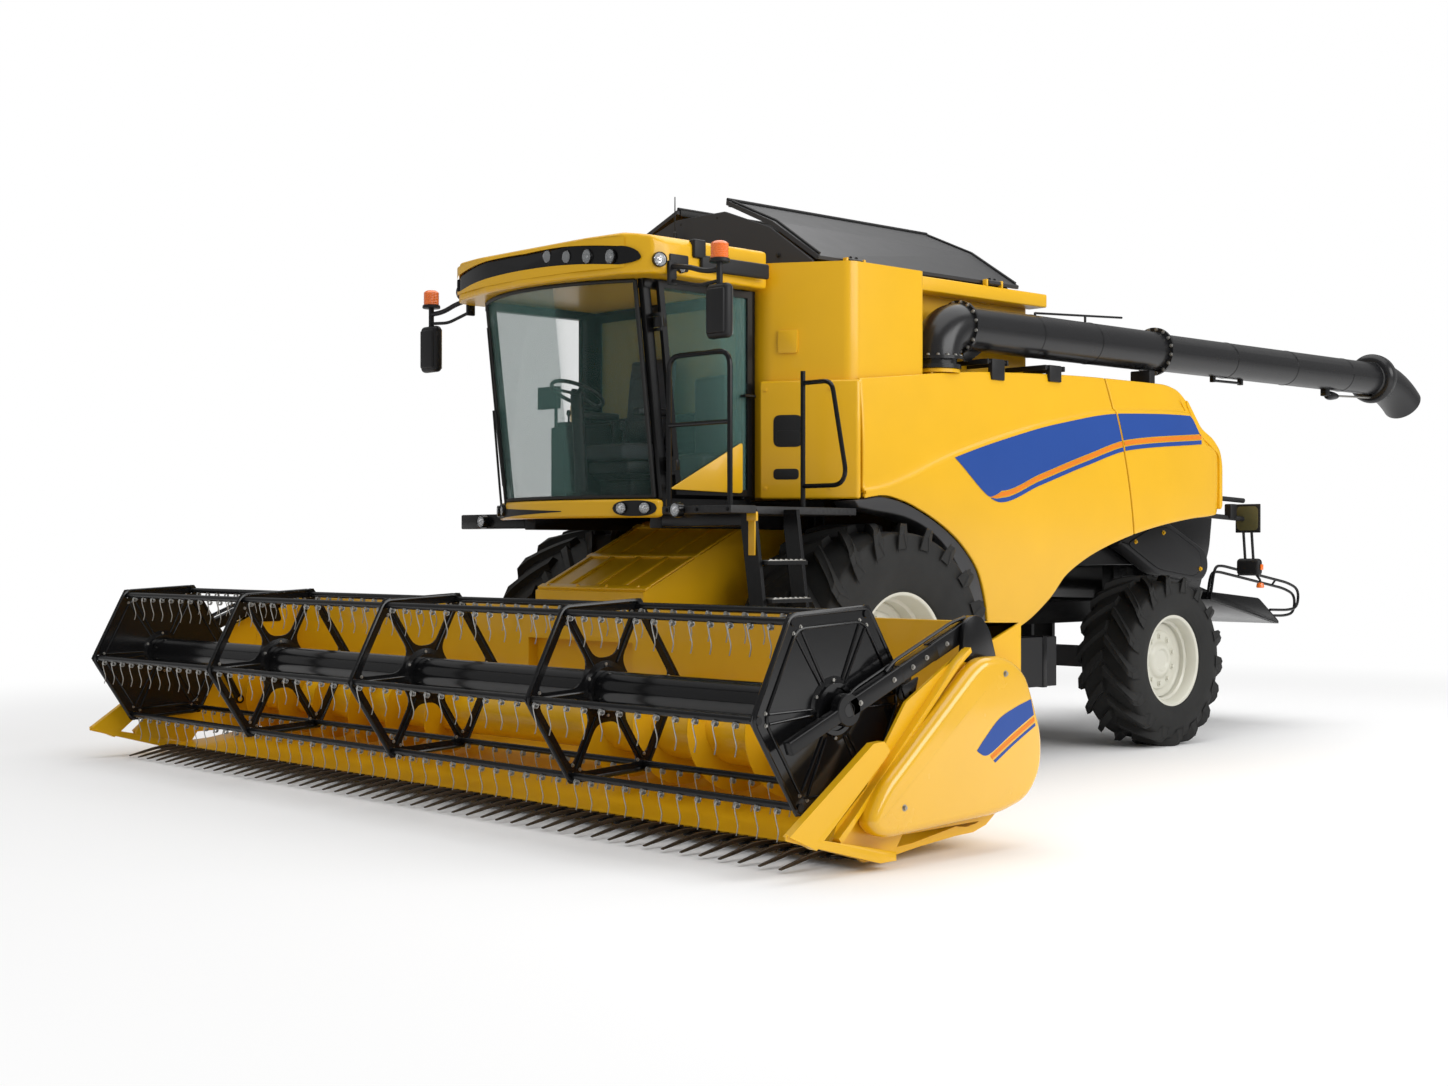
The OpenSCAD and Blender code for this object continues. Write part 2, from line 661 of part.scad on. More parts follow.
// Tyre as a ring round X, seated on the rim, its lugs one with it.
module tyre(r, w, rim, lug, lugs) {
  n = 4 * lugs;
  m = 10;
  points = [for (j = [0 : n - 1]) for (i = [0 : m - 1]) tyre_point(r, w, rim, lug, lugs, j, i)];
  polyhedron(points, [for (j = [0 : n - 1]) for (i = [0 : m - 1])
    let (a = j * m + i, b = j * m + (i + 1) % m, c = (j + 1) % n * m + i, d = (j + 1) % n * m + (i + 1) % m)
    each [[a, d, b], [a, c, d]]]);
}

// Rim with its dished disc and the hub bored for the spindle.
module rim_wheel(rim, w, hub, spindle) {
  rotate([0, 90, 0]) difference() {
    rotate_extrude($fn = 96)
      polygon([[0, 100], [hub, 100], [hub, 60], [rim - 90, 20], [rim - 60, -20], [rim - 45, -20],
        [rim - 25, w * 0.36], [rim, w * 0.40], [rim, -w * 0.40], [rim - 40, -w * 0.36], [rim - 60, -60],
        [rim - 90, -20], [hub, 20], [hub, -130], [0, -130]]);
    translate([0, 0, -140]) cylinder(r = spindle + pin_gap, h = 190);
  }
}

module front_tyre_left() {
  color(black) at_axle() translate([front_track_x, 0, front_tyre_r]) 
    tyre(front_tyre_r, front_tyre_w, front_rim_r, front_lug, front_lugs);
}

module front_rim_left() {
  color(cream) at_axle() translate([front_track_x, 0, front_tyre_r])
    rim_wheel(front_rim_r, front_tyre_w, 190, 90);
}

module front_tyre_right() { mirror([1, 0, 0]) front_tyre_left(); }

module front_rim_right() { mirror([1, 0, 0]) front_rim_left(); }

// Steering knuckle: two lugs on the pin, an upright and the wheel spindle.
module knuckle() {
  translate([king_x, wheelbase, rear_tyre_r]) difference() {
    union() {
      for (s = [-1, 1]) {
        translate([0, 0, s * 135 - 40]) cylinder(r = 75, h = 80);
        translate([0, -60, s * 135 - 40]) cube([110, 120, 80]);
      }
      translate([95, -90, -175]) cube([40, 180, 350]);
      rod_x(100, rear_track_x - king_x + 40, 0, 0, 60);
    }
    translate([0, 0, -200]) cylinder(r = 35 + pin_gap, h = 400);
  }
}

module knuckle_left() { color(grey) at_axle() knuckle(); }

module knuckle_right() { color(grey) at_axle() mirror([1, 0, 0]) knuckle(); }

module rear_tyre_left() {
  color(black) at_axle() translate([rear_track_x, wheelbase, rear_tyre_r]) 
    tyre(rear_tyre_r, rear_tyre_w, rear_rim_r, rear_lug, rear_lugs);
}

module rear_rim_left() {
  color(cream) at_axle() translate([rear_track_x, wheelbase, rear_tyre_r])
    rim_wheel(rear_rim_r, rear_tyre_w, 140, 60);
}

module rear_tyre_right() { mirror([1, 0, 0]) rear_tyre_left(); }

module rear_rim_right() { mirror([1, 0, 0]) rear_rim_left(); }

// Unloading tube: foot, wider bend between its flanges, and the long folded tube.
module unloading_tube() {
  bend = 250;
  foot_z = 2950.8;
  color(grey) at_axle() translate([swing_x, swing_y, 0]) union() {
    translate([0, 0, foot_z]) cylinder(r = tube_r + 20, h = 30);
    translate([0, 0, foot_z]) cylinder(r = tube_r - 10, h = tube_z - bend - foot_z + 20);
    translate([0, 0, tube_z - bend - 12]) cylinder(r = tube_r + 35, h = 24);
    translate([0, bend, tube_z - bend]) rotate([90, 0, 90]) rotate([0, 0, 90]) rotate_extrude(angle = 90)
      translate([bend, 0]) circle(r = tube_r + 12);
    rod_y(0, bend - 12, bend + 12, tube_z, tube_r + 35);
    rod_y(0, bend - 20, 2780, tube_z, tube_r);
    rod_y(0, 2770, 6410, tube_z, tube_r - 10);
    rod_y(0, 2770, 2795, tube_z, tube_r + 35);
  }
}

// Spout that turns the grain down.
module unloading_spout() {
  color(grey) at_axle() side_plate(swing_x - tube_r, swing_x + tube_r, [[7160, tube_z + 160],
    [7450, tube_z + 190], [7700, tube_z + 110], [7900, tube_z - 150], [7760, tube_z - 260],
    [7500, tube_z - 190], [7160, tube_z - 170]]);
}

// Feeder house: sloping housing round its upper shaft, with lugs for the lift cylinders.
module feeder_house() {
  color(yellow) at_axle() union() {
    rod_x(-feeder_half, feeder_half, feeder_y, feeder_z, feeder_r);
    side_plate(-feeder_half, feeder_half, [[feeder_y - 140, feeder_z + 310], [back_y, 1340], [back_y, 330],
      [back_y + 300, 380], [feeder_y + 150, feeder_z - 300]]);
    both_sides() {
      for (x = [lift_x - 66, lift_x + 46])
        side_plate(x, x + 20, [[lug_y + 130, 690], [lug_y + 45, lug_z - 45], [lug_y - 45, lug_z - 45],
          [lug_y - 110, 500]]);
      rod_x(lift_x - 62, lift_x + 62, lug_y, lug_z, 25);
    }
  }
}

lift_dir = [lug_y - lift_y, lug_z - lift_z];
lift_len = norm(lift_dir);
lift_tilt = atan2(lift_dir[1], -lift_dir[0]);

// A cylinder barrel lying along -Y from its eye, and the rod that slides in it.
module barrel(len, r, eye, pin) {
  difference() {
    union() {
      rod_x(-eye, eye, 0, 0, pin * 1.9);
      rod_y(0, -len, -pin, 0, r);
    }
    rod_x(-eye - 1, eye + 1, 0, 0, pin + pin_gap);
    rod_y(0, -len - 1, -pin * 2 - 20, 0, r * 0.6);
  }
}

module piston_rod(from, to, r, eye, pin, slack) {
  difference() {
    union() {
      rod_y(0, -to + pin, -from, 0, r);
      rod_x(-eye, eye, -to, 0, pin + slack + 18);
    }
    rod_x(-eye - 1, eye + 1, -to, 0, pin + slack);
  }
}

module at_lift() {
  both_sides() translate([lift_x, lift_y, lift_z]) rotate([-lift_tilt, 0, 0]) children();
}

module lift_barrels() { color(black) at_axle() at_lift() barrel(480, 55, 60, 25); }

module lift_rods() { color(steel) at_axle() at_lift() piston_rod(130, lift_len, 32.5, 40, 25, 24); }

// Header trough: floor, round the auger and up the back, as one bent sheet with its frame tubes.
module header_frame() {
  color(yellow) at_axle() union() {
    difference() {
      side_plate(-header_half - 5, header_half + 5, concat([[-2650, 40], [-2650, 75], [-2300, 95]],
        [for (a = [255 : 15 : 345]) [screw_y + (screw_r + 25) * cos(a), screw_z + (screw_r + 25) * sin(a)]],
        [[-1480, 560], [-1480, 1230], [back_y, 1230], [back_y, 420], [-1540, 230], [-1690, 130], [-1800, 100],
          [-1950, 95], [-2250, 70], [-2480, 42]]));
      box(-feeder_half + 20, feeder_half - 20, -1600, back_y + 10, 380, 1000);
    }
    both_sides() {
      side_plate(header_half, header_half + 20, [[-2700, 40], [-2480, 40], [-2400, 150], [-1720, 160],
        [back_y, 420], [back_y, 1230], [-1700, 1270],
        [-1870, 1270], [-2100, 1130], [-2400, 960], [-2550, 610], [-2680, 420], [-2900, 250], [-2935, 170]]);
      side_plate(header_half + 19, header_half + 70, [[-2935, 190], [-2817, 289], [-2007, 1039],
        [-1900, 1112], [-1890, 1085], [-1988, 1019], [-2798, 269], [-2915, 160]]);
      rod_x(arm_x - 30, header_half + 10, arm_y, arm_z, 25);
      rod_x(arm_x - 25, header_half + 10, reel_base_y, reel_base_z, 20);
      hull() {
        box(header_half - 20, header_half + 120, -2680, -2560, 45, 90);
        box(header_half + 45, header_half + 55, -3295, -3290, 215, 245);
      }
      side_plate(header_half + 25, header_half + 75, [[-3290, 235], [-2680, 650], [-2600, 655], [-2555, 605],
        [-2600, 560], [-3100, 150]]);
      rod_x(header_half - 150, header_half + 5, screw_y, screw_z, 60);
    }
  }
}

// Knife back with its row of guards, and a long crop lifting finger on every second guard.
module cutter_bar() {
  n = floor((header_half - 80) / tine_pitch);
  pitch = tine_pitch / 2;
  edge = 25 - header_half;
  guards = [for (i = [-2 * n : 2 * n]) each [[i * pitch - 22, -2700], [i * pitch - 5, -2790],
    [i * pitch + 5, -2790], [i * pitch + 22, -2700]]];
  color(steel) at_axle() union() {
    translate([0, 0, 45]) linear_extrude(25)
      polygon(concat([[edge, -2650], [edge, -2700]], guards, [[-edge, -2700], [-edge, -2650]]));
    for (i = [-n : n])
      side_plate(i * tine_pitch - 10, i * tine_pitch + 10, [[-2690, 46], [-2690, 69], [-2850, 88],
        [-3080, 112], [-3080, 104], [-2850, 62]]);
  }
}

// Outline of the covers over the drives at both ends of the header.
cover_outline = [[-2790, 260], [-1980, 1010], [-1900, 1060], [-1650, 1060], [-1470, 930], [-1350, 560],
  [-1390, 370], [-1720, 205], [-2640, 165], [-2760, 200]];

// End cover: a deep pressing whose rim slopes in to its flat outer face.
module end_covers() {
  middle = [-2050, 600];
  face = [for (q = cover_outline) q - middle];
  color(yellow) at_axle() both_sides() union() {
    side_plate(header_half + 20, header_half + 111, cover_outline);
    translate([header_half + 110, middle[0], middle[1]]) rotate([90, 0, 90]) linear_extrude(40, scale = 0.92)
      polygon(face);
  }
}

// One flight: a sheet wound round the auger tube, its root inside the tube.
module flight(x0, turns, pitch, root, tip, thick) {
  n = turns * 16;
  points = [for (i = [0 : n]) for (c = [[-1, root], [-1, tip], [1, tip], [1, root]])
    [x0 + i * pitch / 16 + c[0] * thick / 2, c[1] * cos(i * 22.5), c[1] * sin(i * 22.5)]];
  last = 4 * n;
  polyhedron(points, concat([[0, 2, 1], [0, 3, 2], [last, last + 1, last + 2], [last, last + 2, last + 3]],
    [for (i = [0 : n - 1]) for (k = [0 : 3]) let (a = 4 * i + k, b = 4 * i + (k + 1) % 4)
      each [[a, b, b + 4], [a, b + 4, a + 4]]]));
}

// Header auger: tube with left and right hand flights that bring the crop to the middle.
module header_auger() {
  turns = 6;
  first = 640;
  pitch = (header_half - 130 - first) / turns;
  color(yellow) at_axle() translate([0, screw_y, screw_z]) union() {
    difference() {
      rod_x(-header_half + 90, header_half - 90, 0, 0, 150);
      both_sides() rod_x(header_half - 170, header_half, 0, 0, 60 + pin_gap);
    }
    both_sides() flight(first, turns, pitch, 140, screw_r, 8);
  }
}

// Reel arms with their pivot bores and the bearings of the reel.
module reel_arms() {
  tilt = atan2(arm_z - reel_z, reel_fwd + arm_y);
  color(black) at_axle() both_sides() difference() {
    union() {
      translate([arm_x - 30, arm_y, arm_z]) rotate([tilt, 0, 0]) box(0, 60, -1500, 60, -50, 50);
      rod_x(arm_x - 30, arm_x + 30, -reel_fwd, reel_z, 85);
      for (x = [-28, 20])
        side_plate(arm_x + x, arm_x + x + 8, [[reel_lug_y + 70, reel_lug_z + 90],
          [reel_lug_y + 30, reel_lug_z - 30], [reel_lug_y - 30, reel_lug_z - 30],
          [reel_lug_y - 70, reel_lug_z + 40]]);
      rod_x(arm_x - 28, arm_x + 28, reel_lug_y, reel_lug_z, 12);
    }
    rod_x(arm_x - 40, arm_x + 40, arm_y, arm_z, 25 + pin_gap);
    rod_x(arm_x - 40, arm_x + 40, -reel_fwd, reel_z, 35 + pin_gap);
  }
}

reel_dir = [reel_lug_y - reel_base_y, reel_lug_z - reel_base_z];
reel_len = norm(reel_dir);
reel_tilt = atan2(reel_dir[1], -reel_dir[0]);

module at_reel_lift() {
  both_sides() translate([arm_x, reel_base_y, reel_base_z]) rotate([-reel_tilt, 0, 0]) children();
}

module reel_barrels() { color(black) at_axle() at_reel_lift() barrel(440, 28, 22, 20); }

module reel_rods() { color(steel) at_axle() at_reel_lift() piston_rod(70, reel_len, 16.5, 12, 12, 18); }

// Reel tube with the stub shafts in the arms.
module reel_drum() {
  color(black) at_axle() union() {
    rod_x(-plate_x, plate_x, -reel_fwd, reel_z, drum_r);
    both_sides() rod_x(plate_x - 5, arm_x + 32, -reel_fwd, reel_z, 35);
  }
}

// An outline with its corners rounded over a length r of their sides.
function rounded(pts, r) = let (n = len(pts)) [for (i = [0 : n - 1])
  let (a = pts[(i + n - 1) % n], b = pts[i], c = pts[(i + 1) % n], p = b + r * (a - b) / norm(a - b),
    q = b + r * (c - b) / norm(c - b))
  for (t = [0 : 0.25 : 1]) p * pow(1 - t, 2) + b * 2 * t * (1 - t) + q * pow(t, 2)];

// Outline across the reel: a six-sided plate, full or opened between its spokes, bored for the tine bars.
module reel_disc(x, full) {
  hub = 190;
  rim = (reel_r + 50) * cos(30) - 60;
  spoke = 32;
  translate([x - 6, -reel_fwd, reel_z]) rotate([90, 0, 90]) linear_extrude(12) difference() {
    union() {
      rotate(3) circle(r = reel_r + 50, $fn = 6);
      for (i = [0 : 5]) rotate(3 + i * 60) translate([reel_r, 0]) circle(r = 45);
    }
    circle(r = drum_r + 0.2);
    for (i = [0 : 5]) rotate(3 + i * 60) translate([reel_r, 0]) circle(r = bat_r + pin_gap);
    if (!full) for (i = [0 : 5]) rotate(33 + i * 60) polygon(rounded([[hub, spoke - hub * tan(30)],
      [rim, spoke - rim * tan(30)], [rim, rim * tan(30) - spoke], [hub, hub * tan(30) - spoke]], 60));
  }
}

module reel_spiders() {
  color(black) at_axle() {
    for (x = [-plate_x / 2, 0, plate_x / 2]) reel_disc(x, false);
    both_sides() reel_disc(plate_x - 20, true);
  }
}

// One tine bar: a tube through the spiders with its tines hanging down between them.
module tine_bar(i) {
  a = 3 + i * 60;
  n = floor((plate_x - 60) / tine_pitch) - 1;
  last = (n + 0.5) * tine_pitch;
  comb = [for (k = [-n - 1 : n]) let (x = (k + 0.5) * tine_pitch)
    each [[x - 4, -5], [x - 4, -tine_drop], [x + 4, -tine_drop], [x + 4, -5]]];
  color(black) at_axle() translate([0, -reel_fwd + reel_r * cos(a), reel_z + reel_r * sin(a)]) union() {
    rod_x(5 - plate_x, plate_x - 5, 0, 0, bat_r);
    front_plate(-4, 4, concat(comb, [[last + 4, 8], [-last - 4, 8]]));
  }
}

module tine_bar_1() { tine_bar(1); }
module tine_bar_2() { tine_bar(2); }
module tine_bar_3() { tine_bar(3); }
module tine_bar_4() { tine_bar(4); }
module tine_bar_5() { tine_bar(5); }
module tine_bar_6() { tine_bar(6); }

chassis_frame();
front_axle();
rear_axle();
body_hull();
grain_tank();
tank_gables();
cab_frame();
cab_roof();
cab_bumper();
windscreen();
cab_windows();
operator_seat();
steering_console();
mirrors();
platform();
ladder();
engine();
engine_deck();
rear_hood();
straw_chopper();
lamp_frames();
work_lamps();
fenders();
side_boxes();
front_tyre_left();
front_rim_left();
front_tyre_right();
front_rim_right();
knuckle_left();
knuckle_right();
rear_tyre_left();
rear_rim_left();
rear_tyre_right();
rear_rim_right();
tank_cover_left();
tank_cover_right();
side_shield_left();
side_shield_right();
cab_door();
cab_door_glass();
unloading_tube();
unloading_spout();
feeder_house();
lift_barrels();
lift_rods();
header_frame();
cutter_bar();
end_covers();
header_auger();
reel_arms();
reel_barrels();
reel_rods();
reel_drum();
reel_spiders();
tine_bar_1();
tine_bar_2();
tine_bar_3();
tine_bar_4();
tine_bar_5();
tine_bar_6();
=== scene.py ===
import json
import math

import bmesh
import bpy
from mathutils import Matrix, Vector

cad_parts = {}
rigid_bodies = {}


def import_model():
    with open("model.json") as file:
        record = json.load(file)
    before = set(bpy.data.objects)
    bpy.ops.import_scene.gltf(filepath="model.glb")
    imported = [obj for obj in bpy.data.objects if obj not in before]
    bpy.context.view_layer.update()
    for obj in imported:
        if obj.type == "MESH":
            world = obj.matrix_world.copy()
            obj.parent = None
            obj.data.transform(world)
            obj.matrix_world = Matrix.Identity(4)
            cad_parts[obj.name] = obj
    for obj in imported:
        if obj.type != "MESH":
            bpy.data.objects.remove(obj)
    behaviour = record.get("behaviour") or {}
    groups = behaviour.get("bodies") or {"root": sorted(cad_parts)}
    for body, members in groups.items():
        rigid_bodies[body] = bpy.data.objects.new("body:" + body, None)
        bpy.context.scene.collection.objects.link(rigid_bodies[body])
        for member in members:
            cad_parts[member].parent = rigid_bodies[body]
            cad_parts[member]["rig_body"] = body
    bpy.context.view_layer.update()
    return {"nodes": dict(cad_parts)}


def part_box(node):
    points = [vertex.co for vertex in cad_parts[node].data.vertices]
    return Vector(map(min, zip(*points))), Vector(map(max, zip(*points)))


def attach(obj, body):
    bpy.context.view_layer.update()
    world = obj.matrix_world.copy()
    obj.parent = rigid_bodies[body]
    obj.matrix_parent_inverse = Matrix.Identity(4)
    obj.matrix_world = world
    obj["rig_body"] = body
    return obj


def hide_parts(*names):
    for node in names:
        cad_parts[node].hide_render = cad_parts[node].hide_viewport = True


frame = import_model()

# Standpoint: well off the machine's left front corner at a standing person's eye height, looking
# level. Lengths along the machine are given from the front axle, as they were measured.
AXLE_Y = sum(corner.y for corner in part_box("front_tyre_left")) / 2
scene = bpy.context.scene
scene.view_settings.view_transform = "Standard"
camera = bpy.data.objects.new("camera", bpy.data.cameras.new("camera"))
EYE, LENS_MM, HEADING, NOD = (10.354, -9.840, 1.649), 46.92, math.radians(46.686), 0.0025
camera.data.lens, camera.data.clip_end = LENS_MM, 500
camera.location = (EYE[0], AXLE_Y + EYE[1], EYE[2])
camera.rotation_euler = (math.radians(90) + NOD, 0, HEADING)
scene.collection.objects.link(camera)
scene.camera = camera


# Studio: a wide pale floor that keeps the machine's soft shadow and runs out to white, a white
# surround, and softboxes above and at the machine's left.
class Shade:
    """A shader socket that takes Python's operators; every node comes from the one method."""

    def __init__(self, tree, socket=None):
        self.tree, self.socket = tree, socket

    def node(self, kind, settings=None, inputs=None, output=0):
        made_node = self.tree.nodes.new("ShaderNode" + kind)
        for key, value in (settings or {}).items():
            setattr(made_node, key, value)
        for key, value in (inputs or {}).items():
            if isinstance(value, Shade):
                self.tree.links.new(value.socket, made_node.inputs[key])
            else:
                made_node.inputs[key].default_value = value
        return Shade(self.tree, made_node.outputs[output])

    def sum(self, operation, first, second):
        return self.node("Math", {"operation": operation}, {0: first, 1: second})

    def __add__(self, other): return self.sum("ADD", self, other)
    def __radd__(self, other): return self.sum("ADD", other, self)
    def __mul__(self, other): return self.sum("MULTIPLY", self, other)
    def __rmul__(self, other): return self.sum("MULTIPLY", other, self)

    def place(self):
        return self.node("TexCoord", output="Object")

    def noise(self, scale, detail=3.0):
        return self.node("TexNoise", inputs={"Vector": self.place(), "Scale": scale, "Detail": detail})

    def step(self, low, high):
        return self.node("MapRange", {"interpolation_type": "SMOOTHSTEP"}, {0: self, 1: low, 2: high})

    def between(self, low, high):
        return self.node("Mix", {"data_type": "RGBA"}, {0: self, 6: (*low, 1), 7: (*high, 1)}, 2)

    def bump(self, strength, distance):
        return self.node("Bump", inputs={"Strength": strength, "Distance": distance, "Height": self})

    def ray(self, name):
        return self.node("LightPath", output="Is %s Ray" % name)

    def looked_at(self):
        return self.sum("MAXIMUM", self.ray("Camera"), self.ray("Transmission"))


def soft_finish(name, varying, **fixed):
    material = bpy.data.materials.new(name)
    material.use_nodes = True
    tree = material.node_tree
    shader = tree.nodes["Principled BSDF"]
    for socket, value in fixed.items():
        shader.inputs[socket.replace("_", " ")].default_value = value
    for socket, value in varying(Shade(tree)).items():
        tree.links.new(value.socket, shader.inputs[socket])
    return material


def polished(name, colour, least, spread, scale, **fixed):
    """A finish of one tone whose roughness wanders up from its least value."""
    return soft_finish(name, lambda s: {"Roughness": least + spread * s.noise(scale)},
                       Base_Color=(*colour, 1), **fixed)


FLOOR_SIZE, SHADOW_REACH, FLOOR_END = 150.0, 6.0, 13.0
WHITE = 1.0
floor_form = bmesh.new()
bmesh.ops.create_grid(floor_form, x_segments=1, y_segments=1, size=FLOOR_SIZE)
floor = bpy.data.objects.new("studio_floor", bpy.data.meshes.new("studio_floor"))
floor_form.to_mesh(floor.data)
floor_form.free()
scene.collection.objects.link(floor)
floor_finish = polished("studio_floor", (0.93, 0.93, 0.93), 0.8, 0.1, 0.7, Specular_IOR_Level=0.15)
tree = floor_finish.node_tree
ground = Shade(tree)
away = ground.node("VectorMath", {"operation": "LENGTH"}, {0: ground.place()}, "Value")
plain = ground.node("Emission", inputs={"Color": (1, 1, 1, 1), "Strength": WHITE})
shown = ground.node("MixShader", inputs={
    0: away.step(SHADOW_REACH, FLOOR_END) * ground.looked_at(),
    1: Shade(tree, tree.nodes["Principled BSDF"].outputs[0]), 2: plain})
tree.links.new(shown.socket, tree.nodes["Material Output"].inputs["Surface"])
floor.data.materials.append(floor_finish)

world = bpy.data.worlds.new("studio")
scene.world = world
world.use_nodes = True
sky = Shade(world.node_tree)
SKY_LIGHT, SKY_GLOSS = 0.54, 0.30
level = (SKY_LIGHT + (WHITE - SKY_LIGHT) * sky.looked_at()
         + (SKY_GLOSS - SKY_LIGHT) * sky.ray("Glossy"))
world.node_tree.links.new(level.socket, world.node_tree.nodes["Background"].inputs["Strength"])
world.node_tree.nodes["Background"].inputs["Color"].default_value = (1, 1, 1, 1)


def softbox(name, place, aim, width, height, power):
    lamp = bpy.data.lights.new(name, "AREA")
    lamp.shape, lamp.size, lamp.size_y, lamp.energy = "RECTANGLE", width, height, power
    light = bpy.data.objects.new(name, lamp)
    light.location = place
    light.rotation_euler = (Vector(aim) - Vector(place)).to_track_quat("-Z", "Y").to_euler()
    scene.collection.objects.link(light)


softbox("softbox_top", (0, 0, 12), (0, 0, 0), 14, 16, 1150)
softbox("softbox_left", (15, 1, 8), (0, 0, 1.5), 14, 7, 1330)


# Frame, axles, hull and engine: welded box members in satin black, cast drives and knuckles in
# dull grey, all bolted together under the bodywork.
def mottled(name, scale, dark, pale, roughness, grain=None, **fixed):
    """A finish between two tones, with a roughness of (least, spread, scale) and a fine grain."""
    def varying(s):
        least, spread, fine = roughness
        sockets = {"Base Color": s.noise(scale).between(dark, pale),
                   "Roughness": least + spread * s.noise(fine)}
        if grain:
            sockets["Normal"] = s.noise(*grain[:2]).bump(*grain[2:])
        return sockets
    return soft_finish(name, varying, **fixed)


def paint(name, colour, roughness, coat, peel=0.02, shine=0.5):
    dark, pale = ([c * (1 + change) for c in colour] for change in (-0.06, 0.06))
    return mottled(name, 2.0, dark, pale, (roughness - 0.04, 0.08, 6.0), (260.0, 2.0, peel, 0.001),
                   Coat_Weight=coat, Coat_Roughness=0.06, Specular_IOR_Level=shine)


SHARP = 32


def shown_piece(form, name, finish, body, covers, sharp):
    piece = bpy.data.objects.new(name, bpy.data.meshes.new(name))
    form.to_mesh(piece.data)
    form.free()
    scene.collection.objects.link(piece)
    piece.data.materials.append(finish)
    piece.data.polygons.foreach_set("use_smooth", [True] * len(piece.data.polygons))
    piece.data.set_sharp_from_angle(angle=math.radians(sharp))
    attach(piece, body)
    if covers:
        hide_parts(*covers)
    return piece


def dressed(node, finish, rounding=0.004):
    """The frame's own form with its edges rounded, as a piece that stands for the node."""
    source = frame["nodes"][node]
    form = bmesh.new()
    form.from_mesh(source.data)
    bmesh.ops.remove_doubles(form, verts=form.verts, dist=0.00002)
    bmesh.ops.dissolve_limit(form, angle_limit=math.radians(0.5), verts=form.verts, edges=form.edges)
    piece = shown_piece(form, node + "_piece", finish, source["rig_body"], [node], SHARP)
    if rounding:
        edge = piece.modifiers.new("rounding", "BEVEL")
        edge.width, edge.segments, edge.limit_method = rounding, 2, "ANGLE"
        edge.angle_limit, edge.harden_normals = math.radians(40), True
    return piece


def made(form, name, finish, rides, covers=(), sharp=SHARP):
    """A form drawn from the front axle, as a piece that moves with a node and may stand for some."""
    bmesh.ops.remove_doubles(form, verts=form.verts, dist=0.00001)
    bmesh.ops.recalc_face_normals(form, faces=form.faces)
    bmesh.ops.translate(form, verts=form.verts, vec=(0, AXLE_Y, 0))
    return shown_piece(form, name, finish, frame["nodes"][rides]["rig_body"], covers, sharp)


def bolts(form, places, axis, size=0.012):
    """Hexagon heads on washers, standing along an axis."""
    turn = Vector((0, 0, 1)).rotation_difference(Vector(axis)).to_matrix().to_4x4()
    for place in places:
        foot = Matrix.Translation(place) @ turn
        bmesh.ops.create_cone(form, cap_ends=True, segments=14, radius1=size * 1.5, radius2=size * 1.4,
                              depth=size * 0.4, matrix=foot)
        bmesh.ops.create_cone(form, cap_ends=True, segments=6, radius1=size, radius2=size * 0.9,
                              depth=size * 0.9, matrix=foot @ Matrix.Translation((0, 0, size * 0.6)))


def ring_places(centre, radius, count, across="X"):
    """Places round a circle across an axis."""
    cx, cy, cz = centre
    turns = [math.tau * (i + 0.5) / count for i in range(count)]
    if across == "X":
        return [(cx, cy + radius * math.cos(a), cz + radius * math.sin(a)) for a in turns]
    return [(cx + radius * math.cos(a), cy, cz + radius * math.sin(a)) for a in turns]


def mirrored(form):
    bmesh.ops.mirror(form, geom=form.verts[:] + form.edges[:] + form.faces[:], merge_dist=0, axis="X")


black_paint = paint("black_paint", (0.0060, 0.0060, 0.0065), 0.24, 0.0, shine=0.3)
cast_steel = paint("cast_steel", (0.045, 0.045, 0.047), 0.55, 0.0, 0.12)
zinc = mottled("zinc_plate", 30.0, (0.30, 0.29, 0.27), (0.46, 0.45, 0.42), (0.30, 0.2, 40.0),
               Metallic=0.9)
for node in ("chassis_frame", "body_hull"):
    dressed(node, black_paint, 0.008)
for node in ("front_axle", "rear_axle", "knuckle_left", "knuckle_right", "engine"):
    dressed(node, cast_steel, 0.010)
fixings = bmesh.new()
bolts(fixings, ring_places((0.902, 0, 0.91), 0.19, 12), (1, 0, 0), 0.016)
bolts(fixings, [(0.852, y, z) for y in (0.4, 1.1, 1.8, 2.5) for z in (1.30, 1.60, 1.90)], (1, 0, 0))
mirrored(fixings)
made(fixings, "frame_bolts", zinc, "chassis_frame")


# Wheels: rubber carcass with swept lugs in two rows half a pitch apart, on welded steel rims with a
# deep barrel, a dished disc and a ring of nuts; the rear ones are smaller and steered.
def flowing(points, steps=4):
    """A smooth line through points of any number of values."""
    line = []
    for i in range(len(points) - 1):
        a, b, c, d = (points[max(0, min(len(points) - 1, i + k))] for k in (-1, 0, 1, 2))
        for k in range(steps):
            t = k / steps
            line.append(tuple(
                0.5 * (2 * q + (r - p) * t + (2 * p - 5 * q + 4 * r - s) * t ** 2
                       + (3 * q - p - 3 * r + s) * t ** 3)
                for p, q, r, s in zip(a, b, c, d)))
    return line + [tuple(points[-1])]


def forms(count):
    return [bmesh.new() for _ in range(count)]


def at(place, degrees, axis):
    """A place turned about an axis."""
    return Matrix.Translation(place) @ Matrix.Rotation(math.radians(degrees), 4, axis)


def rounded(form, width, segments, angle=0.5):
    """Rounds the edges that turn by more than an angle."""
    bmesh.ops.bevel(form, offset=width, segments=segments, profile=0.5, affect="EDGES", material=-1,
                    geom=[e for e in form.edges if e.calc_face_angle(0) > angle])


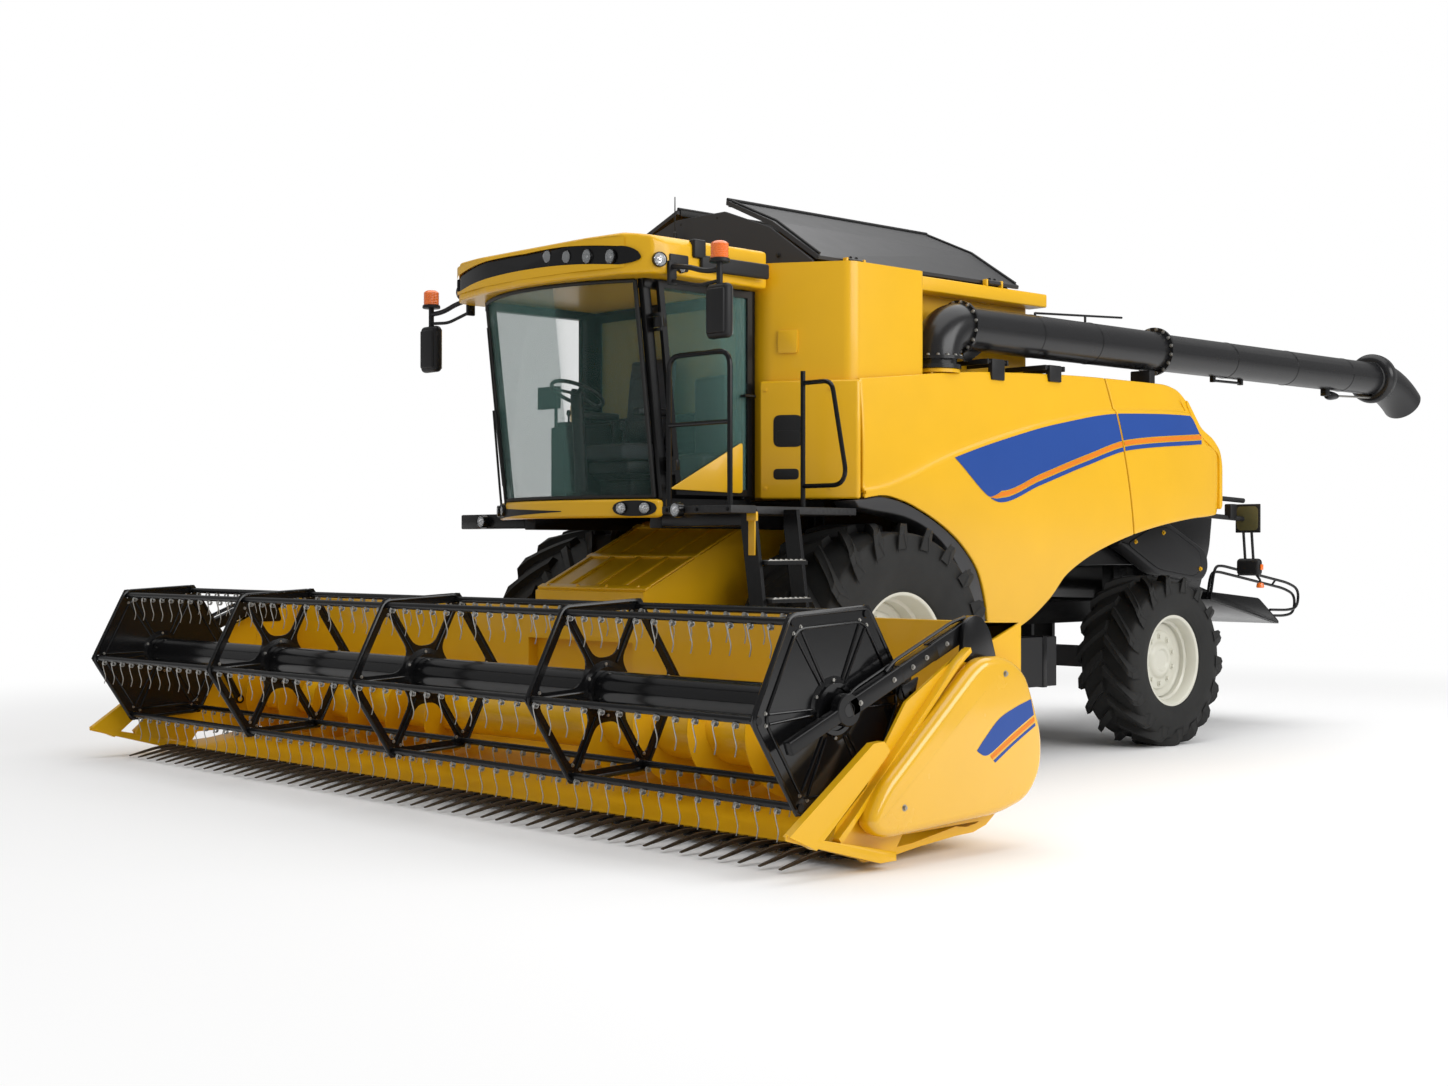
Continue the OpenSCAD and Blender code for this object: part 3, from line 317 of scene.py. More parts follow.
def turned(form, outline, place=Matrix(), steps=64):
    """A line of (radius, height) spun round the Z axis of a place."""
    part = bmesh.new()
    line = [part.verts.new((r, 0, h)) for r, h in outline]
    edges = [part.edges.new(pair) for pair in zip(line, line[1:])]
    bmesh.ops.spin(part, geom=line + edges, cent=(0, 0, 0), axis=(0, 0, 1), angle=math.tau, steps=steps,
                   use_merge=True)
    bmesh.ops.remove_doubles(part, verts=part.verts, dist=0.000001)
    put(form, part, place)


def put(form, part, place=Matrix()):
    """Adds a drawn part to a form at a place."""
    part.transform(place)
    sheet = bpy.data.meshes.new("part")
    part.to_mesh(sheet)
    part.free()
    form.from_mesh(sheet)
    bpy.data.meshes.remove(sheet)


rubber = mottled("tyre_rubber", 3.0, (0.012, 0.012, 0.012), (0.022, 0.022, 0.021), (0.62, 0.16, 9.0),
                 (140.0, 3.0, 0.12, 0.002), Specular_IOR_Level=0.3)
cream_paint = paint("cream_paint", (0.60, 0.59, 0.51), 0.36, 0.2)


def tyre(form, centre, r, w, rim, lug, count):
    floor_r, wall = r - lug, r - rim
    half = flowing([(0.39, rim - 0.004), (0.425, rim + 0.012), (0.462, rim + 0.16 * wall),
                    (0.490, rim + 0.34 * wall),
                    (0.494, rim + 0.52 * wall), (0.474, rim + 0.70 * wall), (0.445, floor_r - 0.020),
                    (0.38, floor_r - 0.006), (0.20, floor_r - 0.001), (0.0, floor_r)], 5)
    ribs = [(x, q + 0.004 * (math.sin((q - rim) * 200) > 0.6) * (q < rim + 0.35 * wall)) for x, q in half]
    outline = [(q, w * x) for x, q in ribs] + [(q, -w * x) for x, q in reversed(ribs[:-1])]
    outline.append((rim - 0.004, w * 0.39))
    lying = at(centre, 90, "Y")
    turned(form, outline, lying, 96)
    for side in (1, -1):
        part = bmesh.new()
        bmesh.ops.create_cube(part, size=1)
        bmesh.ops.subdivide_edges(part, cuts=9, use_grid_fill=True,
                                  edges=[e for e in part.edges
                                         if abs(e.verts[0].co.x - e.verts[1].co.x) > 0.5])
        for vert in part.verts:
            t, across, up = vert.co.x + 0.5, vert.co.y * 2, vert.co.z > 0
            x = min(0.475, 0.02 + 0.52 * t) if t < 0.9 else 0.475 + 0.028 * (t - 0.9) / 0.1
            top = r - 0.006 * t if t < 0.85 else r - 0.006 - 0.16 * wall * ((t - 0.85) / 0.15) ** 1.5
            radius = top if up else top - lug * (1.25 + 0.2 * t)
            wide = (0.105 if up else 0.195) * (1.1 - 0.15 * t) * math.tau / count
            sweep = math.radians(24) * (0.85 * t + 0.15 * t * t)
            turn = sweep + across * wide - math.pi / 2 + (0 if side > 0 else math.pi / count)
            vert.co = (side * w * x, radius * math.cos(turn), radius * math.sin(turn))
        rounded(part, 0.007, 2, 0.7)
        for vert in part.verts:
            out = math.hypot(vert.co.y, vert.co.z)
            vert.co.yz = vert.co.yz * min(1.0, r / out)
        bmesh.ops.spin(part, geom=part.verts[:] + part.edges[:] + part.faces[:], cent=(0, 0, 0),
                       axis=(1, 0, 0),
                       angle=math.tau * (count - 1) / count, steps=count - 1, use_duplicate=True)
        put(form, part, Matrix.Translation(centre))


def rim_wheel(form, nuts, centre, rim, w, hub, side):
    face = flowing([(rim + 0.010, 0.398 * w), (rim + 0.016, 0.408 * w), (rim + 0.006, 0.416 * w),
                    (rim - 0.014, 0.408 * w), (rim - 0.022, 0.38 * w)], 3)
    face += [(rim - 0.034, 0.33 * w), (rim - 0.036, 0.24 * w), (rim - 0.056, 0.22 * w),
             (rim - 0.060, 0.10 * w)]
    face += flowing([(rim - 0.064, 0.085), (rim - 0.075, 0.070), (rim - 0.12, 0.064), (hub + 0.10, 0.078),
                     (hub + 0.045, 0.082), (hub + 0.020, 0.086), (hub + 0.004, 0.100),
                     (hub - 0.020, 0.112),
                     (hub - 0.045, 0.113)], 3)
    face += [(hub - 0.06, 0.101), (0.05, 0.100), (0.0, 0.100)]
    back = [(0.0, -0.02), (hub, -0.02), (rim - 0.10, 0.03), (rim - 0.075, -0.02), (rim - 0.04, -0.36 * w),
            (rim + 0.008, -0.40 * w), (rim + 0.008, -0.41 * w), (rim - 0.006, -0.41 * w)]
    lying = at(centre, 90 * side, "Y")
    turned(form, face, lying, 96)
    turned(form, back + [(rim - 0.004, 0.39 * w), face[0]], lying, 96)
    out = centre[0] + side * 0.083
    bolts(nuts, ring_places((out, *centre[1:]), hub + 0.055, 10), (side, 0, 0), 0.019)


for end, y, r, w, x, rim, lug, count, hub in (("front", 0, 0.91, 0.80, 1.383, 0.425, 0.058, 20, 0.19),
                                             ("rear", 3.66, 0.71, 0.532, 1.265, 0.37, 0.048, 17, 0.14)):
    for side, hand in ((1, "left"), (-1, "right")):
        names = ["%s_%s_%s" % (end, what, hand) for what in ("tyre", "rim")]
        form = bmesh.new()
        tyre(form, (side * x, y, r), r, w, rim, lug, count)
        made(form, names[0] + "_rubber", rubber, names[0], [names[0]], sharp=40)
        form, nuts = forms(2)
        rim_wheel(form, nuts, (side * x, y, r), rim, w, hub, side)
        made(form, names[1] + "_steel", cream_paint, names[1], [names[1]])
        made(nuts, names[1] + "_nuts", cream_paint, names[1])


# Fuel tank and battery box: moulded black plastic strapped to brackets on the frame rails, with a
# filler cap on top.
def slab(form, low, high, edge=0.004, segments=2, place=Matrix()):
    """A box between two corners with rounded edges."""
    part = bmesh.new()
    low, high = (Vector([pick(pair) for pair in zip(low, high)]) for pick in (min, max))
    bmesh.ops.create_cube(part, size=1, matrix=Matrix.Translation((low + high) / 2)
                          @ Matrix.Diagonal((*(high - low), 1)))
    rounded(part, edge, segments)
    put(form, part, place)


black_plastic = paint("black_plastic", (0.014, 0.014, 0.015), 0.46, 0.0, 0.10, shine=0.28)
dressed("side_boxes", black_plastic, 0.035)
form = bmesh.new()
for y in (1.58, 2.13):
    slab(form, (0.695, y, 0.553), (1.306, y + 0.05, 0.957), 0.003)
turned(form, [(0, 0.06), (0.05, 0.06), (0.055, 0.05), (0.055, 0)],
       Matrix.Translation((1.15, 1.86, 0.945)), 24)
mirrored(form)
made(form, "box_straps", black_paint, "side_boxes")


# Grain tank: folded and welded yellow sheet with rounded corners; a black step recess is set in its
# left front corner, and hinge seats and the tube's ledge are welded on.
def panel(form, outline, depth, edge=0.004, segments=2):
    """A flat outline pulled along a depth, its edges rounded."""
    part = bmesh.new()
    ends = [part.faces.new([part.verts.new(Vector(p) + shift) for p in outline])
            for shift in (Vector(), Vector(depth))]
    bmesh.ops.bridge_loops(part, edges=[e for face in ends for e in face.edges])
    bmesh.ops.recalc_face_normals(part, faces=part.faces)
    if edge:
        rounded(part, edge, segments)
    put(form, part)


def softened(points, bend, steps=5, closed=False):
    """A line with each corner rounded over a length of its sides."""
    points = [Vector(p) for p in points]
    line = []
    for i, corner_point in enumerate(points):
        if not closed and i in (0, len(points) - 1):
            line.append(corner_point)
            continue
        before, after = points[i - 1] - corner_point, points[(i + 1) % len(points)] - corner_point
        start = corner_point + before.normalized() * min(bend, before.length * 0.48)
        end = corner_point + after.normalized() * min(bend, after.length * 0.48)
        for k in range(steps + 1):
            t = k / steps
            line.append(start * (1 - t) ** 2 + corner_point * 2 * t * (1 - t) + end * t ** 2)
    return line


YELLOW = (0.77, 0.425, 0.006)
yellow_paint = paint("yellow_paint", YELLOW, 0.30, 0.2, shine=0.4)
RIM_Z = 3.63
plan = [(0.98, -0.62), (1.50, -0.28), (1.50, 0.50), (1.15, 0.50), (1.15, 2.15)]
plan = softened([(x, y, 0) for x, y in plan] + [(-x, y, 0) for x, y in reversed(plan)], 0.07, 6, True)
pit = [(-1.12, RIM_Z), (-1.12, 2.95), (-0.25, 2.15), (0.25, 2.15), (1.12, 2.95), (1.12, RIM_Z)]
form = bmesh.new()
low, high = ([form.verts.new((p.x, p.y, z)) for p in plan] for z in (2.0, RIM_Z))
near, far = ([form.verts.new((x, y, z)) for x, z in pit] for y in (-0.37, 1.76))
for face in [low, near, far] + [(low[i - 1], low[i], high[i], high[i - 1]) for i in range(len(plan))]:
    form.faces.new(face)
for i in range(len(pit) - 1):
    form.faces.new((near[i], near[i + 1], far[i + 1], far[i]))
bmesh.ops.triangle_fill(form, use_beauty=True, use_dissolve=False,
                        edges=[e for e in form.edges if min(v.co.z for v in e.verts) > RIM_Z - 0.001])
for s in (1, -1):
    slab(form, (s * 1.149, 0.48, 3.53), (s * 1.33, 2.15, 3.634), 0.012, 3)
    front = [(s * x, y, 1.985) for x, y in ((1.0, -0.685), (1.47, -0.378), (1.575, -0.30),
                                            (1.575, -0.264), (1.44, -0.264),
                                            (0.98, -0.56))]
    panel(form, front, (0, 0, 0.82), 0.018, 4)
    for y in (-0.15, 0.03, 1.40, 1.58):
        slab(form, (s * 1.31 - 0.02, y, 3.62), (s * 1.31 + 0.02, y + 0.02, 3.685), 0.004)
slab(form, (1.149, 0.60, 2.85), (1.47, 0.90, 2.926), 0.010)
turned(form, [(0, 2.95), (0.17, 2.95), (0.175, 2.945), (0.175, 2.92)],
       Matrix.Translation((1.38, 0.75, 0)), 48)
made(form, "tank_shell", yellow_paint, "grain_tank", ["grain_tank"])
corner = Matrix.Translation((1.0, -0.685, 0)) @ Matrix.Rotation(math.atan2(0.307, 0.47), 4, "Z")


def on_corner(form, x0, x1, z0, z1, out, bend):
    """A flat plate with rounded corners on the panel across the tank's left front corner."""
    spots = [corner @ Vector(p) for p in ((x0, -out, z0), (x1, -out, z0), (x1, -out, z1), (x0, -out, z1))]
    panel(form, softened(spots, bend, 5, True), corner.to_3x3() @ Vector((0, 0.02, 0)), 0.002)


form = bmesh.new()
on_corner(form, 0.10, 0.305, 2.345, 2.567, 0.003, 0.05)
on_corner(form, 0.12, 0.285, 2.365, 2.46, 0.006, 0.03)
on_corner(form, 0.10, 0.28, 2.12, 2.195, 0.003, 0.03)
for s in (1, -1):
    for y in (1.15, 1.38, 1.85, 2.08):
        slab(form, (s * 1.149, y, 3.01), (s * 1.54, y + 0.02, 3.05), 0.004)
    for y in (1.15, 1.85):
        turned(form, [(0, 0.001), (0.012, 0.001), (0.012, 0.249), (0, 0.249)],
               at((s * 1.52, y, 3.03), -90, "X"), 16)
    for y in (-0.15, 1.40):
        turned(form, [(0, 0.001), (0.010, 0.001), (0.010, 0.199), (0, 0.199)],
               at((s * 1.31, y, 3.665), -90, "X"), 16)
made(form, "tank_recess", black_plastic, "grain_tank")
form = bmesh.new()
on_corner(form, 0.12, 0.26, 3.00, 3.16, -0.048, 0.02)
bolts(form, [corner @ Vector((x, -0.001, z)) for x in (0.045, 0.50) for z in (2.06, 2.74)],
      corner.to_3x3() @ Vector((0, -1, 0)), 0.009)
made(form, "tank_trim", yellow_paint, "grain_tank")


# Tank covers and gables: thin dark grey sheets with folded edges, rubber strips along the free edges
# and bolted hinge leaves; a short whip aerial stands behind the cab roof.
def pipe(form, points, radius, bend=0.05, closed=False, sides=3):
    """A round bar along a line with rounded corners."""
    curve = bpy.data.curves.new("pipe", "CURVE")
    curve.dimensions, curve.use_fill_caps = "3D", True
    curve.bevel_depth, curve.bevel_resolution = radius, sides
    line = softened(points, bend, closed=closed) if bend else points
    spline = curve.splines.new("POLY")
    spline.points.add(len(line) - 1)
    for point, place in zip(spline.points, line):
        point.co = (*place, 1)
    spline.use_cyclic_u = closed
    holder = bpy.data.objects.new("pipe", curve)
    sheet = bpy.data.meshes.new_from_object(holder)
    form.from_mesh(sheet)
    bpy.data.meshes.remove(sheet)
    bpy.data.objects.remove(holder)
    bpy.data.curves.remove(curve)


def flipped(form):
    bmesh.ops.scale(form, vec=(-1, 1, 1), verts=form.verts)


cover_paint = paint("cover_paint", (0.030, 0.030, 0.032), 0.38, 0.0, shine=0.4)
seal_rubber = paint("seal_rubber", (0.010, 0.010, 0.010), 0.6, 0.0, 0.1)
dressed("tank_gables", cover_paint, 0.003)
for hand, side in (("left", 1), ("right", -1)):
    dressed("tank_cover_" + hand, cover_paint, 0.004)
    form = bmesh.new()
    pipe(form, [(0.272, -0.30, 4.212), (0.272, 1.94, 4.212)], 0.012)
    slab(form, (0.26, -0.28, 4.160), (0.268, 1.92, 4.205), 0.002)
    for y in (-0.29, 1.90):
        pipe(form, [(0.31, y + 0.006, 4.196), (0.776, y, 3.995), (1.26, y - 0.06, 3.70)], 0.009, 0.02)
    bolts(form, [(1.30, y + dy, 3.690) for y in (-0.12, 1.43) for dy in (0.04, 0.10)], (0.5, 0, 0.85),
          0.010)
    if side < 0:
        flipped(form)
    made(form, "cover_seal_" + hand, seal_rubber, "tank_cover_" + hand)
form = bmesh.new()
bolts(form, [(x, -0.418 + 0.1 * (3.72 - 3.63) / 0.575, 3.72) for x in (-0.9, -0.45, 0, 0.45, 0.9)],
      (0, -1, 0), 0.012)
bolts(form, [(x, -0.325, 4.08) for x in (-0.2, 0.2)], (0, -1, 0), 0.012)
turned(form, [(0, 0.32), (0.004, 0.32), (0.006, 0.06), (0.016, 0.05), (0.02, 0)],
       Matrix.Translation((-0.195, -0.40, 3.96)), 12)
slab(form, (-0.235, -0.42, 3.95), (-0.155, -0.345, 3.965), 0.003)
made(form, "gable_trim", seal_rubber, "tank_gables")


# Side panels, arches and rear hood: large glass-fibre mouldings with a shoulder line and rolled edges,
# hung from hinges under the tank, a moulded black arch along their front lower edge; the blue and
# orange bands are plain film laid on them.
def profile(form, x, outline, depth, edge, bend=0.0, steps=4, segments=2):
    """An outline of (y, z), its corners rounded by a bend, pulled across from a width."""
    points = [(x, y, z) for y, z in outline]
    panel(form, softened(points, bend, steps, True) if bend else points, (depth, 0, 0), edge, segments)


def charted(table):
    """A smooth curve through measured places, without overshoot."""
    slopes = [(d - b) / (c - a) for (a, b), (c, d) in zip(table, table[1:])]
    inner = [2 * p * q / (p + q) if p * q > 0 else 0.0 for p, q in zip(slopes, slopes[1:])]
    lean = [slopes[0]] + inner + [slopes[-1]]

    def value(y):
        i = max(k for k in range(len(table) - 1) if k == 0 or table[k][0] <= y)
        (a, b), (c, d) = table[i], table[i + 1]
        h, t = c - a, max(0.0, min(1.0, (y - a) / (c - a)))
        return (b * (1 + 2 * t) * (1 - t) ** 2 + h * lean[i] * t * (1 - t) ** 2
                + d * t * t * (3 - 2 * t) + h * lean[i + 1] * t * t * (t - 1))
    return value


low_edge = charted([(-0.25, 1.99), (-0.06, 2.012), (0.16, 1.975), (0.37, 1.905), (0.58, 1.815),
                    (0.77, 1.71), (0.92, 1.60),
                    (1.05, 1.475), (1.19, 1.25), (1.31, 1.00), (1.36, 0.958), (1.44, 0.970), (1.70, 1.06),
                    (1.98, 1.26),
                    (2.14, 1.44), (2.60, 1.65), (3.30, 1.82), (3.81, 1.89), (4.25, 1.93), (4.36, 2.00)])
top_edge = charted([(-0.25, 2.82), (1.28, 2.96), (2.68, 3.00), (3.45, 3.00), (3.66, 2.97), (3.84, 2.86),
                    (3.94, 2.74),
                    (4.05, 2.64), (4.22, 2.585), (4.32, 2.49), (4.36, 2.38)])
shoulder = charted([(-0.25, 2.03), (-0.10, 2.05), (0.70, 2.31), (1.22, 2.45), (1.95, 2.61), (2.81, 2.73),
                    (3.81, 2.76),
                    (4.22, 2.70)])
SHIELD_X, FOLD, STEP = 1.60, 0.040, 0.024
SEAM, LEAN = 2.75, 0.26


def crease(y):
    return min(shoulder(y), top_edge(y) - 0.12)


def bulge(y, z):
    up = max(0.0, min(1.0, (z - crease(y)) / FOLD))
    return (SHIELD_X - STEP * up * up * (3 - 2 * up) - 0.09 * ((z - 2.25) / 0.9) ** 2
            - 0.07 * max(0.0, y - 3.3) ** 2 - 3.0 * max(0.0, y - 4.22) ** 2)


def leaned(y, height):
    """A station drawn over towards the slanted seam, and its height there."""
    spot = y
    for _ in range(5):
        spot = y + LEAN * (2.65 - height(spot)) * max(0.0, 1 - abs(y - SEAM) / 0.9)
    return spot, height(spot)


def sheet_height(v):
    def height(y):
        low, fold, top = low_edge(y), crease(y), top_edge(y)
        if v < 0.55:
            return low + (fold - low) * v / 0.55
        if v < 0.70:
            return fold + FOLD * (v - 0.55) / 0.15
        return fold + FOLD + (top - fold - FOLD) * (v - 0.70) / 0.30
    return height


def draped(steps, rows, place):
    """A grid whose corners lie where a function of both shares says."""
    part = bmesh.new()
    bmesh.ops.create_grid(part, x_segments=steps, y_segments=rows, size=0.5)
    for vert in part.verts:
        vert.co = place(vert.co.x + 0.5, vert.co.y + 0.5)
    return part


def skin(form, y0, y1, steps):
    """The panel's curved sheet between two stations."""
    def place(u, v):
        y, z = leaned(y0 + (y1 - y0) * u, sheet_height(v))
        return bulge(y, z), y, z
    part = draped(steps, 40, place)
    bmesh.ops.recalc_face_normals(part, faces=part.faces)
    if sum(face.normal.x for face in part.faces) < 0:
        bmesh.ops.reverse_faces(part, faces=part.faces)
    bmesh.ops.solidify(part, geom=part.faces[:], thickness=0.03)
    rounded(part, 0.010, 3, 1.0)
    put(form, part)


def film(form, y0, y1, low, high, steps, off=0.0035):
    """A thin band lying on the panel between two lines."""
    def place(u, v):
        y, z = leaned(y0 + (y1 - y0) * u, lambda spot: low(spot) + (high(spot) - low(spot)) * v)
        return bulge(y, z) + off, y, z
    put(form, draped(steps, 12, place))


band_low = charted([(0.70, 2.297), (1.19, 1.99), (1.23, 1.985), (1.70, 2.12), (2.30, 2.29), (2.88, 2.43),
                    (3.98, 2.52)])


def band_line(rise):
    """A line a height over the band's lower edge, running into it at the pointed tip."""
    return lambda y: band_low(y) + rise * max(0.0, min(1.0, (y - 1.10) / 0.14))


def band_top(y):
    return crease(y) - 0.010


bands = (("blue", 0.70, band_line(0.086), band_top), ("orange", 1.12, band_line(0.044), band_line(0.078)),
         ("blue", 1.12, band_low, band_line(0.034)))
film_paint = {"blue": paint("blue_film", (0.016, 0.064, 0.29), 0.30, 0.0, shine=0.3),
              "orange": paint("orange_film", (0.72, 0.20, 0.012), 0.30, 0.0, shine=0.3)}
for hand, side in (("left", 1), ("right", -1)):
    node = "side_shield_" + hand
    sheets = dict(zip(("shield", "blue", "orange", "hinge"), forms(4)))
    skin(sheets["shield"], -0.25, SEAM - 0.010, 90)
    for y in (1.20, 1.90):
        slab(sheets["hinge"], (1.50, y, top_edge(y) - 0.06), (1.544, y + 0.15, 3.052), 0.006)
    for colour, start, low, high in bands:
        film(sheets[colour], start, SEAM - 0.016, low, high, 60)
    for form in sheets.values():
        if side < 0:
            flipped(form)
    made(sheets["shield"], "shield_panel_" + hand, yellow_paint, node, [node], sharp=50)
    made(sheets["hinge"], "shield_hinges_" + hand, black_plastic, node)
    for colour in film_paint:
        made(sheets[colour], "%s_band_%s" % (colour, hand), film_paint[colour], node)
form, seam_shade_and_rests = forms(2)
rear_bands = dict(zip(("blue", "orange"), forms(2)))
skin(form, SEAM + 0.004, 4.36, 60)
for colour, start, low, high in bands:
    film(rear_bands[colour], SEAM + 0.010, 3.97, low, high, 30)
for colour, sheet in rear_bands.items():
    mirrored(sheet)
    made(sheet, colour + "_band_rear", film_paint[colour], "rear_hood")
back = [(3.80, 2.895), (4.02, 2.655), (4.20, 2.575), (4.31, 2.48), (4.345, 2.36), (4.345, 1.99),
        (4.30, 1.97), (4.30, 2.44),
        (4.00, 2.60), (3.80, 2.84)]
profile(form, -1.53, back, 3.06, 0.004, 0.05)
mirrored(form)
# A black sheet set 42 mm behind the seam between side panel and hood is painted shade in the gap; the
# black blocks after it are rests under the hood.
film(seam_shade_and_rests, SEAM - 0.03, SEAM + 0.05, (lambda y: low_edge(y) + 0.02), (lambda y: top_edge(y) - 0.01), 6,
     -0.042)
slab(seam_shade_and_rests, (1.31, 3.30, 2.90), (1.50, 3.38, 3.105), 0.008)
for y in (2.30, 2.62, 3.05, 3.55):
    slab(seam_shade_and_rests, (0.90, y, 2.62), (1.30, y + 0.24, 2.99 + 0.03 * (y > 3)), 0.03, 3)
mirrored(seam_shade_and_rests)
made(seam_shade_and_rests, "hood_rests_and_seam_shade", black_plastic, "rear_hood")
made(form, "hood_panel", yellow_paint, "rear_hood", ["rear_hood"], sharp=50)
arch = flowing([(-0.34, 1.972, -0.30, 1.925), (-0.20, 1.992, -0.14, 1.903), (-0.06, 2.003, 0.04, 1.885),
                (0.16, 1.966, 0.20, 1.858),
                (0.37, 1.896, 0.39, 1.80), (0.58, 1.806, 0.58, 1.70), (0.77, 1.70, 0.74, 1.57),
                (0.92, 1.588, 0.87, 1.42),
                (1.045, 1.465, 0.96, 1.29), (1.18, 1.245, 1.06, 1.13), (1.30, 0.99, 1.15, 0.955)], 4)
form = bmesh.new()
rows = []
for y, z, inner_y, inner_z in arch:
    out = bulge(y, z) - 0.008
    rows.append([form.verts.new(p) for p in ((1.37, y, z), (out, y, z), (out, inner_y, inner_z),
                                             (1.37, inner_y, inner_z))])
for a, b in zip(rows, rows[1:]):
    for k in range(4):
        form.faces.new((a[k - 1], a[k], b[k], b[k - 1]))
form.faces.new(rows[0])
form.faces.new(rows[-1])
bmesh.ops.recalc_face_normals(form, faces=form.faces)
rounded(form, 0.012, 3, 0.9)
slab(form, (0.848, 0.64, 1.56), (1.42, 0.70, 1.62), 0.006)
mirrored(form)
arch_plastic = paint("arch_plastic", (0.040, 0.040, 0.042), 0.42, 0.0, 0.08, shine=0.35)
made(form, "arches", arch_plastic, "fenders", ["fenders"], sharp=40)


# Cab: welded pillars and floor in black, tinted panes bonded in rubber, a moulded roof with a glossy
# lamp visor set into its front, and a curved apron below the windscreen; the lamps are pressed
# reflectors behind clear lenses, held in round bezels.
dressed("cab_frame", black_paint, 0.010)
dressed("cab_door", black_paint, 0.008)
dressed("cab_bumper", yellow_paint, 0.022)
roof = dressed("cab_roof", yellow_paint, 0)
whole = roof.modifiers.new("one_skin", "REMESH")
whole.mode, whole.voxel_size, whole.use_smooth_shade = "VOXEL", 0.013, True
easing = roof.modifiers.new("easing", "SMOOTH")
easing.factor, easing.iterations = 0.5, 14
window_glass = soft_finish(
    "window_glass", lambda s: {"Alpha": 0.05 + 0.55 * s.node("Fresnel", inputs={"IOR": 1.45}),
                               "Roughness": 0.015 + 0.02 * s.noise(3.0)},
    Base_Color=(0.12, 0.24, 0.215, 1))
for node in ("windscreen", "cab_windows", "cab_door_glass"):
    dressed(node, window_glass, 0)
gloss_black = paint("gloss_black", (0.0055, 0.0055, 0.006), 0.15, 0.0, 0.005, shine=0.4)
brow = charted([(0.0, -1.988), (0.45, -1.958), (0.90, -1.858), (1.02, -1.795), (1.12, -1.70)])


def visor_line(x, middle, fall, centre):
    """One edge of the visor's band, running in to a rounded tip at both ends."""
    reach = min(abs(x), 0.88)
    z = middle - fall * ((reach - centre) / 0.85) ** 2
    close = max(0.0, (abs(x) - 0.88) / 0.15)
    return z + (3.545 - z) * (1 - math.sqrt(max(0.0, 1 - close * close)))


def visor_low(x):
    return visor_line(x, 3.547, 0.050, 0.1)


def visor_high(x):
    return visor_line(x, 3.667, 0.062, 0.2)


def brow_sheet(x0, x1, low, high, depth, steps=80):
    """A sheet that follows the roof's front between two lines."""
    def place(u, v):
        x = x0 + (x1 - x0) * u
        z = low(x) + (high(x) - low(x)) * v
        return x, max(brow(abs(x)), -2.0 + 0.273 * (z - 3.52)) + depth(x), z
    return draped(steps, 8, place)


form = brow_sheet(-1.029, 1.029, visor_low, visor_high, lambda x: 0.014 if -0.98 < x < 0.88 else -0.004,
                  160)
made(form, "visor_panel", gloss_black, "cab_roof")
for name, low, high in (("visor_sill", lambda x: 3.485, visor_low),
                        ("visor_brow", visor_high, lambda x: 3.688)):
    made(brow_sheet(-1.02, 0.93, low, high, lambda x: -0.002), name, yellow_paint, "cab_roof")

GLASS_Y, GLASS_R, GLASS_LEAN, FLOOR_Z = -0.168, 1.552, math.radians(6.8), 1.98


def on_screen(turn, z, off=0.0):
    """A place on the windscreen at an angle round it and a height."""
    a = math.radians(turn)
    x, y = (GLASS_R + off) * math.sin(a), GLASS_Y - (GLASS_R + off) * math.cos(a)
    h = (z - FLOOR_Z - y * math.sin(GLASS_LEAN)) / math.cos(GLASS_LEAN)
    return (x, y * math.cos(GLASS_LEAN) - h * math.sin(GLASS_LEAN), z)


form = bmesh.new()
EDGE_TURN = 32.0
for z in (1.992, 3.425):
    pipe(form, [on_screen(-EDGE_TURN + 2 * EDGE_TURN * k / 24, z, 0.002) for k in range(25)], 0.014)
for side in (-1, 1):
    pipe(form, [on_screen(side * EDGE_TURN, 1.99 + 1.44 * k / 8, 0.002) for k in range(9)], 0.016)
    pipe(form, [(side * 0.895, -0.745, 1.99), (side * 0.895, -0.745, 3.38)], 0.012)
for low, high in ((-23, -27), (-29, -31)):
    pipe(form, [on_screen(low, 1.93, 0.05), on_screen(low, 2.05, 0.05), on_screen(high, 2.65, 0.035)],
         0.009, 0.05)
    pipe(form, [on_screen(high + 0.4, 2.10, 0.018), on_screen(high, 2.65, 0.022),
                on_screen(high - 0.5, 3.25, 0.018)],
         0.008, 0.3)
made(form, "cab_seals", seal_rubber, "cab_frame")

chrome = polished("chrome", (0.80, 0.80, 0.81), 0.05, 0.06, 25.0, Metallic=1.0)
lamp_lens = soft_finish(
    "lamp_lens", lambda s: {"Alpha": 0.22 + 0.7 * s.node("Fresnel", inputs={"IOR": 1.5}),
                            "Normal": s.node("TexWave", {"bands_direction": "X"},
                                             {"Vector": s.place(), "Scale": 40.0}).bump(0.3, 0.002)},
    Base_Color=(0.85, 0.88, 0.9, 1), Roughness=0.04)
bezels, dishes, lenses = forms(3)


def facing(place, turn):
    """A place whose Z axis looks out level, turned from straight ahead towards the left."""
    return at(place, turn, "Z") @ at((0, 0, 0), 90, "X")


def lamp(place, r, depth):
    turned(bezels, [(0, -depth), (r, -depth), (r, -0.008), (r * 0.98, 0.0), (r * 0.90, 0.002),
                    (r * 0.86, -0.004),
                    (r * 0.82, -0.012)], place, 32)
    turned(dishes, flowing([(r * 0.85, -0.004), (r * 0.66, -0.014), (r * 0.40, -0.019),
                            (r * 0.24, -0.0195)], 3)
           + [(r * 0.24, -0.008), (r * 0.16, -0.004), (0, -0.003)], place, 32)
    turned(lenses, flowing([(r * 0.87, -0.003), (r * 0.6, 0.003), (0, 0.006)], 4), place, 32)


